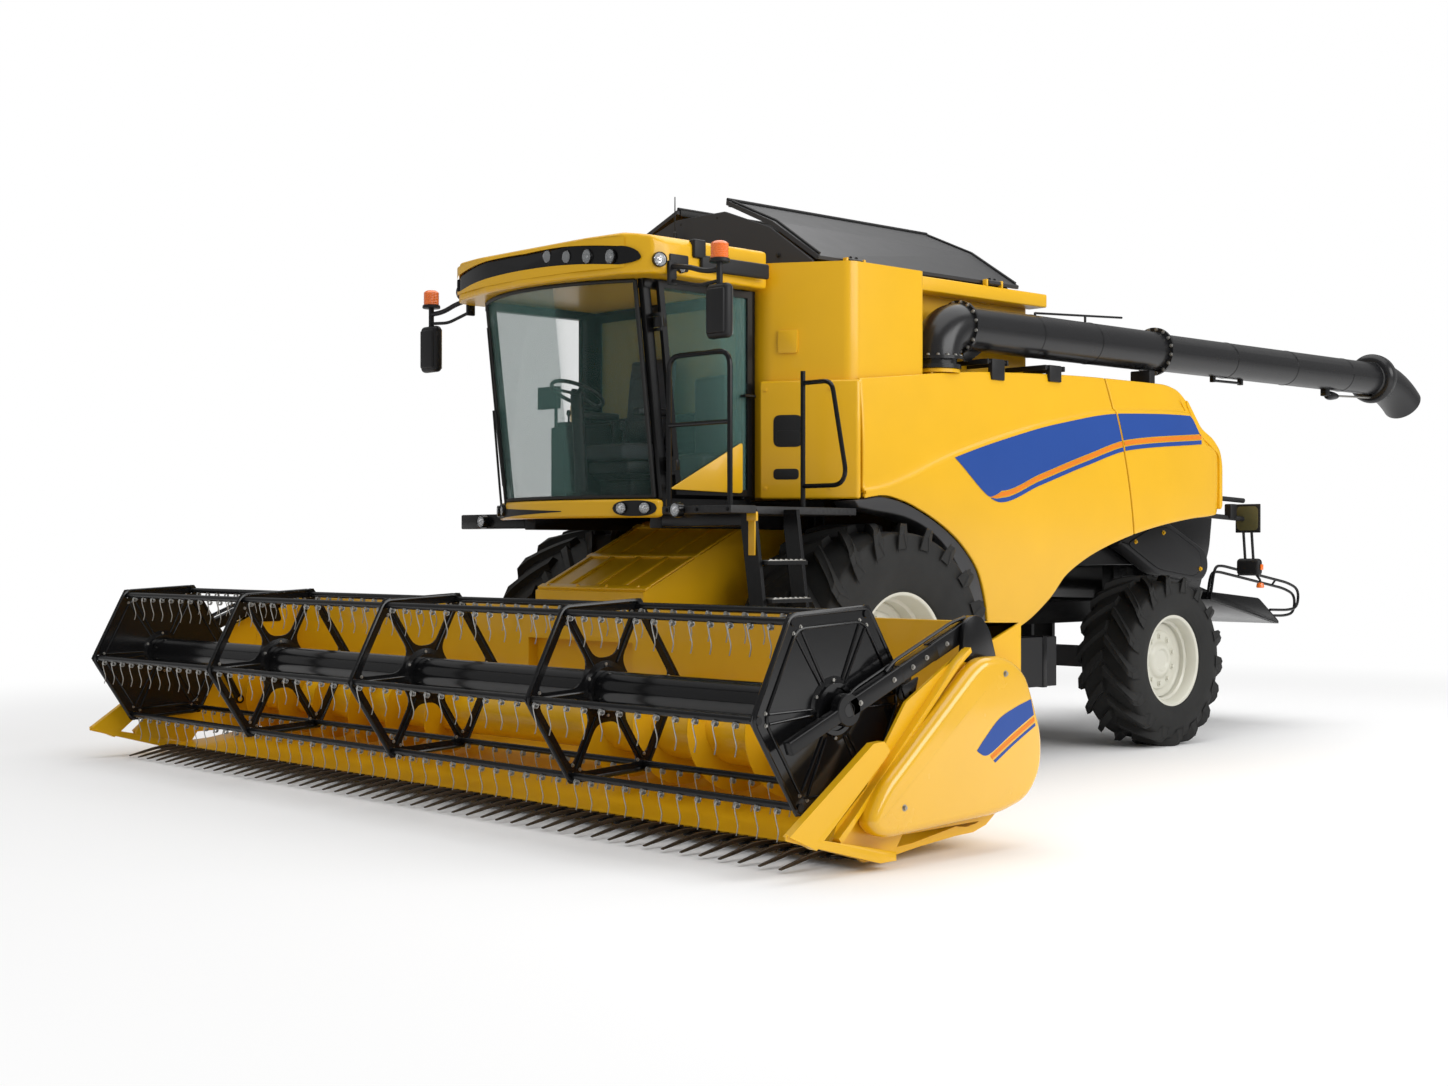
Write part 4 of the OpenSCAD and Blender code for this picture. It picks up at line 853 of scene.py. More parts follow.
for i in range(4):
    x = 0.24 + 0.19 * i
    lamp(facing((x, brow(x - 0.055) + 0.0195, 3.613 - 0.016 * i), 0), 0.055, 0.038)
corner_turn = math.degrees(math.atan2(0.09, 0.03))
for side in (1, -1):
    lamp(facing((side * (1.095 + 0.025 * math.sin(math.radians(corner_turn))),
                 -1.695 - 0.025 * math.cos(math.radians(corner_turn)), 3.531), side * corner_turn), 0.050,
                 0.025)
    lamp(facing((side * 1.128, -1.515, 3.487), side * 90), 0.030, 0.020)
    for a in (24, 30):
        reach = GLASS_R + 0.082
        lamp(facing((side * reach * math.sin(math.radians(a)),
                     GLASS_Y - reach * math.cos(math.radians(a)), 1.915),
                    side * a), 0.042, 0.020)
lamp(facing((1.24, -1.69, 1.895), 0), 0.05, 0.048)
lamp(facing((-1.24, -1.43, 1.845), 0), 0.05, 0.048)
made(bezels, "lamp_bezels", gloss_black, "work_lamps")
made(dishes, "lamp_dishes", chrome, "work_lamps")
made(lenses, "lamp_glasses", lamp_lens, "work_lamps", ["work_lamps"])
form = bmesh.new()
for side in (1, -1):
    for low, high, bend in (((1.085, -1.335, 3.495), (1.121, -0.70, 3.60), 0.016),
                            ((1.06, -1.405, 3.575), (1.122, -1.295, 3.70), 0.014),
                            ((1.065, -1.62, 3.47), (1.120, -1.45, 3.58), 0.012)):
        slab(form, (side * low[0], *low[1:]), (side * high[0], *high[1:]), bend, 4)
    for low, high in ((21.5, 33.0), (6.0, -31.0) if side > 0 else (-21.5, -33.0)):
        strip = abs(low) < 20

        def place(u, v):
            a, out = math.radians(low + (high - low) * u), GLASS_R + 0.0625
            tall = 0.003 + 0.036 * u if strip else 0.053 * max(0.0, 1 - abs(2 * u - 1) ** 3) ** 0.5
            z = 1.914 - 0.016 * strip + (2 * v - 1) * tall
            return out * math.sin(a), GLASS_Y - out * math.cos(a), z
        put(form, draped(30, 6, place))
made(form, "roof_brackets", black_plastic, "cab_roof")
form = bmesh.new()
profile(form, 0.944, [(-1.475, 2.04), (-0.800, 2.379), (-0.800, 2.024)], 0.012, 0.003, 0.03)
made(form, "door_panel", yellow_paint, "cab_door")


# Inside the cab: a sprung seat with sewn cushions, steering column and wheel, side console with its
# screen, and a second seat beside it, all bolted to the cab's floor.
dressed("steering_console", black_plastic, 0.006)
seat_cloth = mottled("seat_cloth", 90.0, (0.020, 0.021, 0.024), (0.048, 0.050, 0.056), (0.85, 0.1, 20.0),
                     (520.0, 2.0, 0.35, 0.002))
CAP, SEWN, STEPS = 0.024, 0.006, 20


def cushion(name, low, high, place=Matrix(), channels=()):
    """A sewn pad swelled by air pressure, its channels and underside held."""
    form = bmesh.new()
    slab(form, low, high, 0.035, 4)
    bmesh.ops.transform(form, matrix=place, verts=form.verts)
    piece = made(form, name, seat_cloth, "operator_seat", sharp=180)
    flat = piece.modifiers.new("threads", "REMESH")
    flat.mode, flat.voxel_size, flat.use_smooth_shade = "VOXEL", 0.006, True
    graph = bpy.context.evaluated_depsgraph_get()
    mesh = bpy.data.meshes.new_from_object(piece.evaluated_get(graph))
    piece.modifiers.clear()
    old, piece.data = piece.data, mesh
    bpy.data.meshes.remove(old)
    rest = [v.co.copy() for v in mesh.vertices]
    back_to = (Matrix.Translation((0, AXLE_Y, 0)) @ place).inverted()
    held = piece.vertex_groups.new(name="held")
    for v in mesh.vertices:
        spot = back_to @ v.co
        sewn = any(abs(spot[axis] - seam) < SEWN for axis, seam in channels)
        held.add([v.index], 1.0 if sewn or spot.z < low[2] + 0.02 else 0.0, "REPLACE")
    cloth = piece.modifiers.new("air", "CLOTH")
    cloth.settings.use_pressure, cloth.settings.uniform_pressure_force = True, 4.0
    cloth.settings.vertex_group_mass = "held"
    cloth.settings.effector_weights.gravity = 0
    for step in range(1, STEPS + 1):
        scene.frame_set(step)
    graph = bpy.context.evaluated_depsgraph_get()
    swollen = [v.co.copy() for v in piece.evaluated_get(graph).data.vertices]
    piece.modifiers.clear()
    scene.frame_set(1)
    for v, a, b in zip(mesh.vertices, rest, swollen):
        move = b - a
        v.co = a + move * min(1.0, CAP / max(move.length, 1e-9))
    mesh.polygons.foreach_set("use_smooth", [True] * len(mesh.polygons))
    return piece


tilt = at((0, -0.845, 2.42), 84, "X")
cushion("seat_cushion", (-0.235, -1.27, 2.27), (0.235, -0.80, 2.385), Matrix(),
        ((0, -0.13), (0, 0.13)))
cushion("seat_back", (-0.225, 0.0, -0.045), (0.225, 0.60, 0.04), tilt,
        ((1, 0.15), (1, 0.30), (1, 0.45)))
form = bmesh.new()
slab(form, (-0.18, -1.15, 1.98), (0.18, -0.85, 2.14), 0.03, 3)
slab(form, (-0.22, -1.22, 2.17), (0.22, -0.82, 2.265), 0.02, 3)
for k in range(4):
    slab(form, (-0.20, -1.18, 2.135 + 0.009 * k), (0.20, -0.84, 2.143 + 0.009 * k), 0.003)
for x in (-0.30, 0.30):
    slab(form, (x - 0.04, -1.22, 2.58), (x + 0.04, -0.88, 2.635), 0.02, 3)
    slab(form, (x - 0.015, -0.93, 2.35), (x + 0.015, -0.86, 2.60), 0.010)
slab(form, (0.42, -1.05, 1.98), (0.80, -0.75, 2.30), 0.04, 3)
slab(form, (0.44, -0.80, 2.28), (0.78, -0.70, 2.86), 0.04, 3)
slab(form, (-0.48, -1.31, 2.52), (-0.33, -0.86, 2.56), 0.012, 3)
for x, y in ((-0.44, -1.22), (-0.37, -1.15), (-0.42, -1.02)):
    turned(form, [(0, 0.10), (0.014, 0.095), (0.018, 0.07), (0.008, 0.05), (0.008, 0)],
           Matrix.Translation((x, y, 2.555)),
           14)
made(form, "cab_fittings", black_plastic, "operator_seat", ["operator_seat"])
screen = polished("screen_glass", (0.01, 0.012, 0.015), 0.06, 0.04, 12.0, Coat_Weight=0.6)
form = bmesh.new()
slab(form, (-0.625, -1.308, 2.675), (-0.435, -1.303, 2.805), 0.002)
made(form, "console_screen", screen, "steering_console")


# Mirrors and beacons: moulded heads on steel tube arms bolted to the roof's corners, with a ribbed
# orange beacon standing over each.
mirror_glass = polished("mirror_glass", (0.75, 0.77, 0.78), 0.02, 0.02, 8.0, Metallic=1.0)
amber = mottled("amber_plastic", 30.0, (0.80, 0.13, 0.008), (0.92, 0.20, 0.012), (0.12, 0.1, 12.0),
                Coat_Weight=0.5)
heads, glasses, beacons = forms(3)
slab(heads, (1.50, -1.665, 2.98), (1.70, -1.585, 3.33), 0.034, 5)
slab(heads, (1.518, -1.676, 3.01), (1.682, -1.64, 3.30), 0.014, 4)
slab(glasses, (1.522, -1.588, 3.005), (1.678, -1.580, 3.305), 0.003)
pipe(heads, [(1.11, -1.605, 3.495), (1.30, -1.612, 3.47), (1.45, -1.62, 3.425), (1.60, -1.625, 3.42)],
     0.018, 0.08)
pipe(heads, [(1.60, -1.625, 3.32), (1.60, -1.625, 3.48)], 0.021)
pipe(heads, [(1.12, -1.605, 3.40), (1.40, -1.61, 3.34), (1.58, -1.62, 3.35)], 0.012, 0.06)
slab(heads, (1.108, -1.64, 3.37), (1.135, -1.57, 3.53), 0.008)
FOOT = Matrix.Translation((1.60, -1.625, 3.47))
turned(heads, [(0, -0.005), (0.064, -0.005), (0.068, 0.0), (0.066, 0.018), (0.058, 0.022), (0, 0.022)],
       FOOT, 32)
ribbed = [(0.056 + 0.0022 * (k % 2), 0.022 + 0.006 * k) for k in range(16)]
turned(beacons, ribbed + [(0.050, 0.122), (0.034, 0.131), (0, 0.134)], FOOT, 40)
for form in (heads, glasses, beacons):
    mirrored(form)
made(heads, "mirror_heads", black_plastic, "mirrors", ["mirrors"])
made(glasses, "mirror_glasses", mirror_glass, "mirrors")
made(beacons, "beacons", amber, "mirrors")


# Walkway, guard rails and ladder: bent steel tube and folded plate in black, the treads of pressed
# non-slip sheet with bright worn edges, a yellow catch on the ladder's stile.
tread = soft_finish("tread_plate", lambda s: {
    "Base Color": s.noise(14.0).between((0.020, 0.020, 0.021), (0.045, 0.045, 0.046)),
    "Roughness": 0.45 + 0.2 * s.noise(8.0),
    "Normal": s.node("TexVoronoi", inputs={"Vector": s.place(), "Scale": 28.0}).bump(0.5, 0.006)},
    Metallic=0.4)
form, plates = forms(2)
slab(plates, (0.94, -1.40, 1.870), (1.56, -0.30, 1.920), 0.006)
slab(plates, (1.06, -1.64, 1.870), (1.72, -1.415, 1.920), 0.006)
slab(plates, (1.06, -1.42, 1.870), (1.54, -1.39, 1.920), 0.004)
for side in (1, -1):
    slab(form, (side * 0.76, -1.38, 1.79), (side * 1.56, -1.30, 1.90), 0.010)
pipe(form, [(1.11, -1.62, 1.91), (1.11, -1.62, 2.90), (1.69, -1.62, 2.90), (1.69, -1.62, 1.91)], 0.018,
     0.10)
pipe(form, [(1.11, -1.62, 2.45), (1.69, -1.62, 2.45)], 0.016)
pipe(form, [(1.535, -0.80, 1.91), (1.535, -0.80, 2.83)], 0.017)
pipe(form, [(1.535, -0.80, 2.75), (1.80, -0.80, 2.75), (1.93, -0.80, 2.13), (1.87, -0.80, 2.06),
            (1.535, -0.80, 2.06)], 0.016, 0.07)
bolts(form, [(x, -1.642, 1.895) for x in (1.11, 1.40, 1.69)], (0, -1, 0), 0.010)
made(plates, "walkway_plates", tread, "platform")
made(form, "guard_rails", black_paint, "platform", ["platform"])
dressed("ladder", black_paint, 0.005)
form, catch = forms(2)
for i in range(5):
    x, z = 1.60 + i * 0.04, 1.566 - i * 0.245
    slab(form, (x + 0.003, -1.362, z - 0.004), (x + 0.177, -1.018, z + 0.004), 0.002)
    for k in range(7):
        slab(form, (x + 0.165, -1.35 + 0.046 * k, z + 0.002), (x + 0.178, -1.325 + 0.046 * k, z + 0.010),
             0.002)
slab(catch, (1.64, -1.412, 1.60), (1.70, -1.40, 1.86), 0.004)
slab(catch, (1.63, -1.418, 1.82), (1.72, -1.398, 1.88), 0.006)
made(form, "ladder_treads", zinc, "ladder")
made(catch, "ladder_catch", yellow_paint, "ladder")


# Engine deck: sheet floor behind the tank with the cooling air box at the right, its outer side a
# perforated screen in a pressed ring.
dressed("engine_deck", black_paint, 0.010)
screen_mesh = soft_finish("screen_mesh", lambda s: {
    "Base Color": s.node("TexVoronoi", inputs={"Vector": s.place(), "Scale": 90.0}).step(0.2,
                                                                                         0.5).between(
        (0.09, 0.09, 0.09), (0.012, 0.012, 0.012)), "Roughness": 0.5 + 0.1 * s.noise(10.0)}, Metallic=0.5)
form, ring = forms(2)
outward = at((-1.38, 3.15, 3.08), -90, "Y")
turned(form, [(0.165, 0.004), (0.10, 0.012), (0, 0.014)], outward, 48)
turned(ring, [(0.19, 0.0), (0.19, 0.012), (0.18, 0.018), (0.165, 0.012), (0.165, 0)], outward, 48)
for k in range(8):
    slab(ring, (-1.30, 2.70 + 0.12 * k, 3.279), (-0.72, 2.76 + 0.12 * k, 3.290), 0.004)
made(form, "air_screen", screen_mesh, "engine_deck")
made(ring, "air_box_trim", black_paint, "engine_deck")


# Unloading tube and spout: rolled steel tube in dark satin paint with bolted flanges, an actuator and
# a rod along it, and a round hooded spout with a collar at its end.
tube_paint = paint("tube_paint", (0.012, 0.012, 0.013), 0.26, 0.0, shine=0.45)
dressed("unloading_tube", tube_paint, 0.004)
TUBE_X, TUBE_Z = 1.38, 3.28
form, rods = forms(2)
for y in (0.987, 3.519):
    bolts(form, ring_places((TUBE_X, y, TUBE_Z), 0.184, 16, "Y"), (0, -1, 0), 0.011)
bolts(form, [(TUBE_X + 0.184 * math.cos(a), 0.75 + 0.184 * math.sin(a), 3.043) for a in
             [math.tau * k / 16 for k in range(16)]], (0, 0, 1), 0.011)
made(form, "tube_bolts", zinc, "unloading_tube")
for y in (1.85, 2.60, 4.60, 5.60, 6.60):
    r = 0.165 if y < 3 else 0.155
    turned(rods, [(r, -0.006), (r + 0.003, -0.003), (r + 0.003, 0.003), (r, 0.006)],
           at((TUBE_X, y, TUBE_Z), -90, "X"), 48)
pipe(rods, [(TUBE_X, 1.93, 3.465), (TUBE_X, 3.08, 3.525)], 0.009)
pipe(rods, [(TUBE_X, 2.58, 3.43), (TUBE_X, 2.58, 3.50)], 0.010)
pipe(rods, [(TUBE_X, 1.93, 3.43), (TUBE_X, 1.93, 3.47)], 0.010)
for y in (4.43, 4.87):
    slab(rods, (TUBE_X - 0.02, y - 0.02, 3.080), (TUBE_X + 0.02, y + 0.02, 3.14), 0.005)
pipe(rods, [(TUBE_X, 4.43, 3.095), (TUBE_X, 4.87, 3.098)], 0.012)
slab(rods, (TUBE_X - 0.03, 6.30, 3.065), (TUBE_X + 0.03, 6.38, 3.14), 0.008)
turned(rods, flowing([(0, 0), (0.03, 0.01), (0.042, 0.06), (0.034, 0.14), (0.020, 0.20), (0, 0.21)], 4),
       at((TUBE_X, 6.36, 3.075), -90, "X"), 24)
gusset = [(1.06, 3.03), (1.06, 3.13), (1.30, 3.13), (1.12, 3.03)]
profile(rods, TUBE_X - 0.006, gusset, 0.012, 0.003)
made(rods, "tube_rods", black_paint, "unloading_tube")
form = bmesh.new()
pipe(form, [(TUBE_X, 6.55, 3.078), (TUBE_X, 7.24, 3.10)], 0.010)
made(form, "spout_rod", zinc, "unloading_tube")
form, part = forms(2)
bmesh.ops.create_circle(part, cap_ends=False, radius=0.172, segments=56,
                        matrix=at((TUBE_X, 7.19, TUBE_Z), -90, "X"))
bmesh.ops.spin(part, geom=part.verts[:] + part.edges[:], cent=(TUBE_X, 7.19, TUBE_Z - 1.10),
               axis=(1, 0, 0),
               angle=math.radians(-36), steps=18)
bmesh.ops.recalc_face_normals(part, faces=part.faces)
bmesh.ops.solidify(part, geom=part.faces[:], thickness=-0.012)
put(form, part)
turned(form, flowing([(0.165, -0.03), (0.205, -0.025), (0.232, 0.0), (0.236, 0.03), (0.222, 0.10),
                      (0.190, 0.16), (0.176, 0.19)], 4),
       at((TUBE_X, 7.20, TUBE_Z), -90, "X") @ at((0, 0, 0), 5, "X"), 56)
made(form, "spout_hood", tube_paint, "unloading_spout", ["unloading_spout"])


# Straw chopper and rear lamps: folded black sheet with slanted belt covers and tube guards; square
# reflector boards and oval lamp clusters hang on brackets at the rear corners.
form, covers, pips, rails = forms(4)
shell = [(4.30, 1.96), (5.35, 1.96), (5.30, 1.65), (5.15, 1.30), (5.05, 1.12), (4.70, 1.12), (4.30, 1.50)]
profile(form, -0.80, shell, 1.60, 0.010, 0.06)
profile(form, -0.95, [(5.10, 1.25), (6.25, 0.96), (6.25, 0.93), (5.08, 1.18)], 1.90, 0.006)
fall = Matrix.Translation((0, 5.10, 1.252)) @ Matrix.Rotation(math.atan2(-0.29, 1.15), 4, "X")
for k in range(-6, 7):
    slab(form, (0.13 * k - 0.004, 0.02, -0.02), (0.13 * k + 0.004, 1.16, 0.055), 0.002, place=fall)
for s in (1, -1):
    cheek = [(5.09, 1.25), (5.90, 1.18), (6.25, 0.96), (6.25, 0.93), (5.08, 1.18)]
    profile(form, s * 0.90, cheek, s * 0.05, 0.006, 0.03, 3)
    hub_plate = [(4.31, 1.88), (4.90, 1.66), (4.90, 1.48), (4.31, 1.54)]
    profile(form, s * 0.799, hub_plate, s * 0.055, 0.006)
    belt = [(3.545, 1.70), (4.02, 1.88), (4.33, 1.882), (4.95, 1.62), (4.985, 1.46), (4.90, 1.36),
            (4.78, 1.345), (4.15, 1.42)]
    profile(covers, s * 0.85, belt, s * 0.15, 0.035, 0.11, 6, 5)
    middle = Vector((0, 4.28, 1.62))
    inner = [middle + (Vector((0, y, z)) - middle) * 0.80 for y, z in belt]
    profile(covers, s * 0.995, [p.yz for p in inner], s * 0.012, 0.010, 0.09, 6, 3)
    bolts(pips, [(s * 1.008, y, z) for y, z in ((3.82, 1.70), (4.24, 1.78), (4.82, 1.46))], (s, 0, 0),
          0.014)
    for out, drop in ((0.945, 0.0), (0.905, -0.055)):
        loop = [(5.09, 1.24), (5.15, 1.475), (5.26, 1.488), (6.42, 1.315), (6.62, 1.25), (6.60, 1.08),
                (6.43, 1.055), (6.10, 1.065)]
        pipe(rails, [(s * out, y, z + drop) for y, z in loop], 0.013, 0.10)
    for y, z in ((5.60, 1.435), (6.20, 1.348)):
        pipe(rails, [(s * 0.945, y, z), (s * 0.905, y, z - 0.055)], 0.010)
made(form, "chopper_shell", black_paint, "straw_chopper", ["straw_chopper"])
made(covers, "belt_covers", black_plastic, "straw_chopper")
made(pips, "belt_cover_bolts", yellow_paint, "straw_chopper")
made(rails, "chopper_rails", black_paint, "straw_chopper")
olive = paint("board_film", (0.10, 0.09, 0.035), 0.45, 0.2)
red_lens = mottled("red_lens", 40.0, (0.25, 0.006, 0.006), (0.40, 0.014, 0.012), (0.12, 0.1, 20.0),
                   Coat_Weight=0.5)
boards, clusters, reds, ambers = forms(4)
for y in (4.777, 4.803):
    plate = [(1.40, y, 1.80), (1.61, y, 1.80), (1.61, y, 2.01), (1.40, y, 2.01)]
    panel(boards, softened(plate, 0.045, 5, True), (0, 0.003, 0), 0.001)
slab(clusters, (1.385, 4.78, 1.78), (1.625, 4.80, 2.03), 0.006)
for z in (2.09, 1.93):
    pipe(clusters, [(1.27, 4.22, z), (1.34, 4.36, z), (1.46, 4.79, z - 0.03)], 0.022, 0.06)
slab(clusters, (1.26, 4.215, 1.89), (1.30, 4.25, 2.13), 0.006)
slab(clusters, (1.385, 4.60, 1.90), (1.455, 4.70, 2.03), 0.012, 3)
slab(clusters, (1.385, 4.78, 1.405), (1.615, 4.86, 1.555), 0.035, 5)
for x in (1.46, 1.54):
    pipe(clusters, [(x, 4.79, 1.79), (x, 4.80, 1.70), (x, 4.82, 1.53)], 0.012, 0.03)
pipe(clusters, [(1.56, 4.82, 1.42), (1.60, 4.83, 1.37), (1.60, 4.83, 1.345)], 0.010, 0.02)
for x, what in ((1.445, reds), (1.555, ambers)):
    turned(what, [(0.045, 0), (0.045, 0.008), (0.035, 0.014), (0, 0.016)],
           at((x, 4.858, 1.48), -90, "X"), 28)
turned(ambers, [(0, 0), (0.030, 0), (0.034, 0.01), (0.028, 0.04), (0, 0.05)],
       Matrix.Translation((1.60, 4.83, 1.30)), 24)
slab(ambers, (1.615, 4.80, 1.455), (1.628, 4.84, 1.505), 0.006)
for form in (boards, clusters, reds, ambers):
    mirrored(form)
made(boards, "reflector_boards", olive, "lamp_frames")
made(clusters, "lamp_clusters", black_plastic, "lamp_frames", ["lamp_frames"])
made(reds, "tail_lamps", red_lens, "lamp_frames")
made(ambers, "turn_lamps", amber, "lamp_frames")


# Feeder house and lift cylinders: welded yellow housing with ribs pressed into its top, and painted
# barrels with bright rods on pins below it.
bright_steel = mottled("bright_steel", 12.0, (0.36, 0.35, 0.33), (0.52, 0.51, 0.49), (0.22, 0.2, 40.0),
                       Metallic=0.95)
dressed("feeder_house", yellow_paint, 0.010)
for node in ("lift_barrels", "reel_barrels"):
    dressed(node, black_paint, 0.004)
for node in ("lift_rods", "reel_rods"):
    dressed(node, bright_steel, 0.002)
slope = math.atan2(1.83 - 1.34, 1.40 - 0.39)
on_top = Matrix.Translation((0, -0.39, 1.83)) @ Matrix.Rotation(slope, 4, "X")
form = bmesh.new()
for x in (-0.56, -0.30, 0.0, 0.30, 0.56):
    slab(form, (x - 0.025, -1.09, -0.004), (x + 0.025, -0.03, 0.014), 0.008, 3, on_top)
for y in (-1.07, -0.56, -0.06):
    slab(form, (-0.60, y - 0.03, -0.004), (0.60, y + 0.03, 0.018), 0.008, 3, on_top)
bolts(form, [on_top @ Vector((x, y, 0.018)) for x in (-0.5, -0.16, 0.16, 0.5) for y in (-1.07, -0.06)],
      on_top.to_3x3() @ Vector((0, 0, 1)), 0.011)
made(form, "feeder_ribs", yellow_paint, "feeder_house")


# Header: a folded yellow trough with end sheets, deep moulded end covers carrying the same blue and
# orange film, a steel knife bar with guards and long crop fingers, and the auger with its flights.
HEADER_HALF = 3.80
trough = dressed("header_frame", yellow_paint, 0.006)
lowered = {(-1.70, 1.27): (-1.68, 1.13), (-1.87, 1.27): (-1.87, 1.10), (-2.10, 1.13): (-2.06, 1.01),
           (-2.40, 0.96): (-2.37, 0.84)}
for vert in trough.data.vertices:
    for (y, z), (new_y, new_z) in lowered.items():
        near_y, near_z = abs(vert.co.y - AXLE_Y - y) < 0.002, abs(vert.co.z - z) < 0.002
        if abs(vert.co.x) > HEADER_HALF - 0.01 and near_y and near_z:
            vert.co.y, vert.co.z = AXLE_Y + new_y, new_z
form = bmesh.new()
seat = [(-1.92, 1.03), (-1.90, 1.24), (-1.84, 1.28), (-1.76, 1.28), (-1.68, 1.20), (-1.62, 1.03)]
profile(form, HEADER_HALF - 0.004, seat, 0.03, 0.004, 0.04)
mirrored(form)
made(form, "arm_seats", black_paint, "header_frame")
finger_steel = mottled("finger_steel", 25.0, (0.030, 0.022, 0.014), (0.110, 0.078, 0.048),
                       (0.35, 0.25, 30.0), Metallic=0.6)
form, guards = forms(2)
slab(guards, (-3.775, -2.70, 0.045), (3.775, -2.65, 0.070), 0.004)
for k in range(-49, 50):
    x = 0.075 * k
    nose = [(x - 0.022, -2.695), (x - 0.006, -2.79), (x + 0.006, -2.79), (x + 0.022, -2.695)]
    panel(guards, [(a, b, 0.046) for a, b in nose], (0, 0, 0.022), 0.003)
    slab(guards, (x - 0.012, -2.715, 0.060), (x + 0.012, -2.665, 0.078), 0.003)
for k in range(-24, 25):
    top = flowing([(-2.668, 0.078), (-2.76, 0.084), (-2.86, 0.076), (-2.97, 0.052), (-3.085, 0.024)], 3)
    under = flowing([(-3.085, 0.016), (-2.97, 0.034), (-2.86, 0.054), (-2.76, 0.060), (-2.668, 0.056)], 3)
    profile(form, 0.15 * k - 0.011, top + under, 0.022, 0.003)
made(guards, "knife_guards", black_paint, "cutter_bar")
made(form, "crop_fingers", finger_steel, "cutter_bar", ["cutter_bar"])
yellow_panel = paint("yellow_panel", YELLOW, 0.26, 0.8)
outline = [(-2.785, 0.265), (-2.665, 0.435), (-1.94, 1.02), (-1.85, 1.062), (-1.66, 1.058), (-1.51, 0.97),
           (-1.455, 0.865),
           (-1.355, 0.62), (-1.36, 0.42), (-1.48, 0.265), (-1.72, 0.205), (-2.64, 0.165), (-2.73, 0.195)]
form, blues, oranges, pips = forms(4)
profile(form, HEADER_HALF + 0.02, outline, 0.128, 0.050, 0.09, 6, 6)
face_x = HEADER_HALF + 0.148


def end_film(form, upper, lower):
    """A flat film on the end cover between two smooth lines."""
    line = flowing(upper, 5) + list(reversed(flowing(lower, 5)))
    profile(form, face_x, line, 0.002, 0)


end_film(blues, [(-1.945, 0.565), (-1.877, 0.628), (-1.755, 0.724), (-1.615, 0.778), (-1.478, 0.815)],
         [(-1.925, 0.552), (-1.846, 0.537), (-1.646, 0.637), (-1.452, 0.728)])
end_film(oranges, [(-1.830, 0.530), (-1.640, 0.627), (-1.450, 0.716)],
         [(-1.815, 0.510), (-1.635, 0.602), (-1.444, 0.692)])
end_film(blues, [(-1.805, 0.502), (-1.632, 0.592), (-1.442, 0.682)],
         [(-1.790, 0.490), (-1.628, 0.576), (-1.438, 0.666)])
bolts(pips, [(face_x - 0.002, -2.528, 0.315), (face_x - 0.002, -1.70, 0.965)], (1, 0, 0), 0.013)
for sheet, name, finish, covers in (
        (form, "end_cover_shells", yellow_panel, ["end_covers"]),
        (blues, "end_blue_bands", film_paint["blue"], []),
        (oranges, "end_orange_bands", film_paint["orange"], []), (pips, "end_bolts", zinc, [])):
    mirrored(sheet)
    made(sheet, name, finish, "end_covers", covers)


def shaft(radius, half, steps):
    """The outline of a plain round bar, closed at both ends."""
    side = [(radius, -half + 2 * half * k / steps) for k in range(steps + 1)]
    return [(0, -half)] + side + [(0, half)]


SCREW = (-1.86, 0.47)
form = bmesh.new()
lying = at((0, *SCREW), 90, "Y")
turned(form, shaft(0.15, 3.71, 24), lying, 64)
TURNS, FIRST = 6, 0.64
pitch = (HEADER_HALF - 0.13 - FIRST) / TURNS
for side in (1, -1):
    part = bmesh.new()
    edge = [part.verts.new((0, 0.145, 0)), part.verts.new((0, 0.31, 0))]
    rib = part.edges.new(edge)
    bmesh.ops.spin(part, geom=edge + [rib], cent=(0, 0, 0), axis=(1, 0, 0), angle=math.tau * TURNS,
                   steps=48 * TURNS,
                   dvec=(pitch / 48, 0, 0))
    bmesh.ops.recalc_face_normals(part, faces=part.faces)
    bmesh.ops.solidify(part, geom=part.faces[:], thickness=0.006)
    if side < 0:
        flipped(part)
    put(form, part, Matrix.Translation((side * FIRST, *SCREW)))
made(form, "auger_flights", yellow_paint, "header_auger", ["header_auger"])


# Reel: a black tube with pressed six-sided spiders and end plates, six tine bars that stay upright,
# each with a row of grey spring wire tines coiled round it, on box arms with a lift cylinder each.
ARM_X, ARM_Y, ARM_Z = 3.76, -1.80, 1.215
REEL_Y, REEL_Z, REEL_R, REEL_TURN = -2.77, 0.82, 0.544, 3.0
form, pips = forms(2)
lean = Matrix.Translation((ARM_X, ARM_Y, ARM_Z)) @ Matrix.Rotation(math.atan2(ARM_Z - REEL_Z,
                                                                              ARM_Y - REEL_Y), 4, "X")
for y0, y1, half, tall in ((-1.50, 0.06, 0.026, 0.036), (-1.03, -0.30, 0.030, 0.046),
                           (-0.34, 0.05, 0.029, 0.050),
                           (-1.04, -1.02, 0.0305, 0.049), (-0.62, -0.60, 0.0305, 0.049)):
    slab(form, (-half, y0, -tall), (half, y1, tall), 0.006, 3, lean)
turned(form, [(0.037, -0.03), (0.080, -0.03), (0.085, -0.025), (0.085, 0.025), (0.080, 0.03),
              (0.037, 0.03)],
       at((ARM_X, REEL_Y, REEL_Z), 90, "Y"), 40)
for x in (-0.028, 0.020):
    lug = [(-2.23, 0.97), (-2.27, 0.85), (-2.33, 0.85), (-2.37, 0.92)]
    profile(form, ARM_X + x, lug, 0.008, 0.001, 0.02, 3)
turned(form, [(0, -0.028), (0.012, -0.028), (0.012, 0.028), (0, 0.028)],
       at((ARM_X, -2.30, 0.88), 90, "Y"), 16)
pipe(form, [lean @ Vector((0.004, y, z)) for y,
            z in ((0.0, 0.055), (-0.10, 0.078), (-0.62, 0.078), (-0.70, 0.055))], 0.010, 0.05)
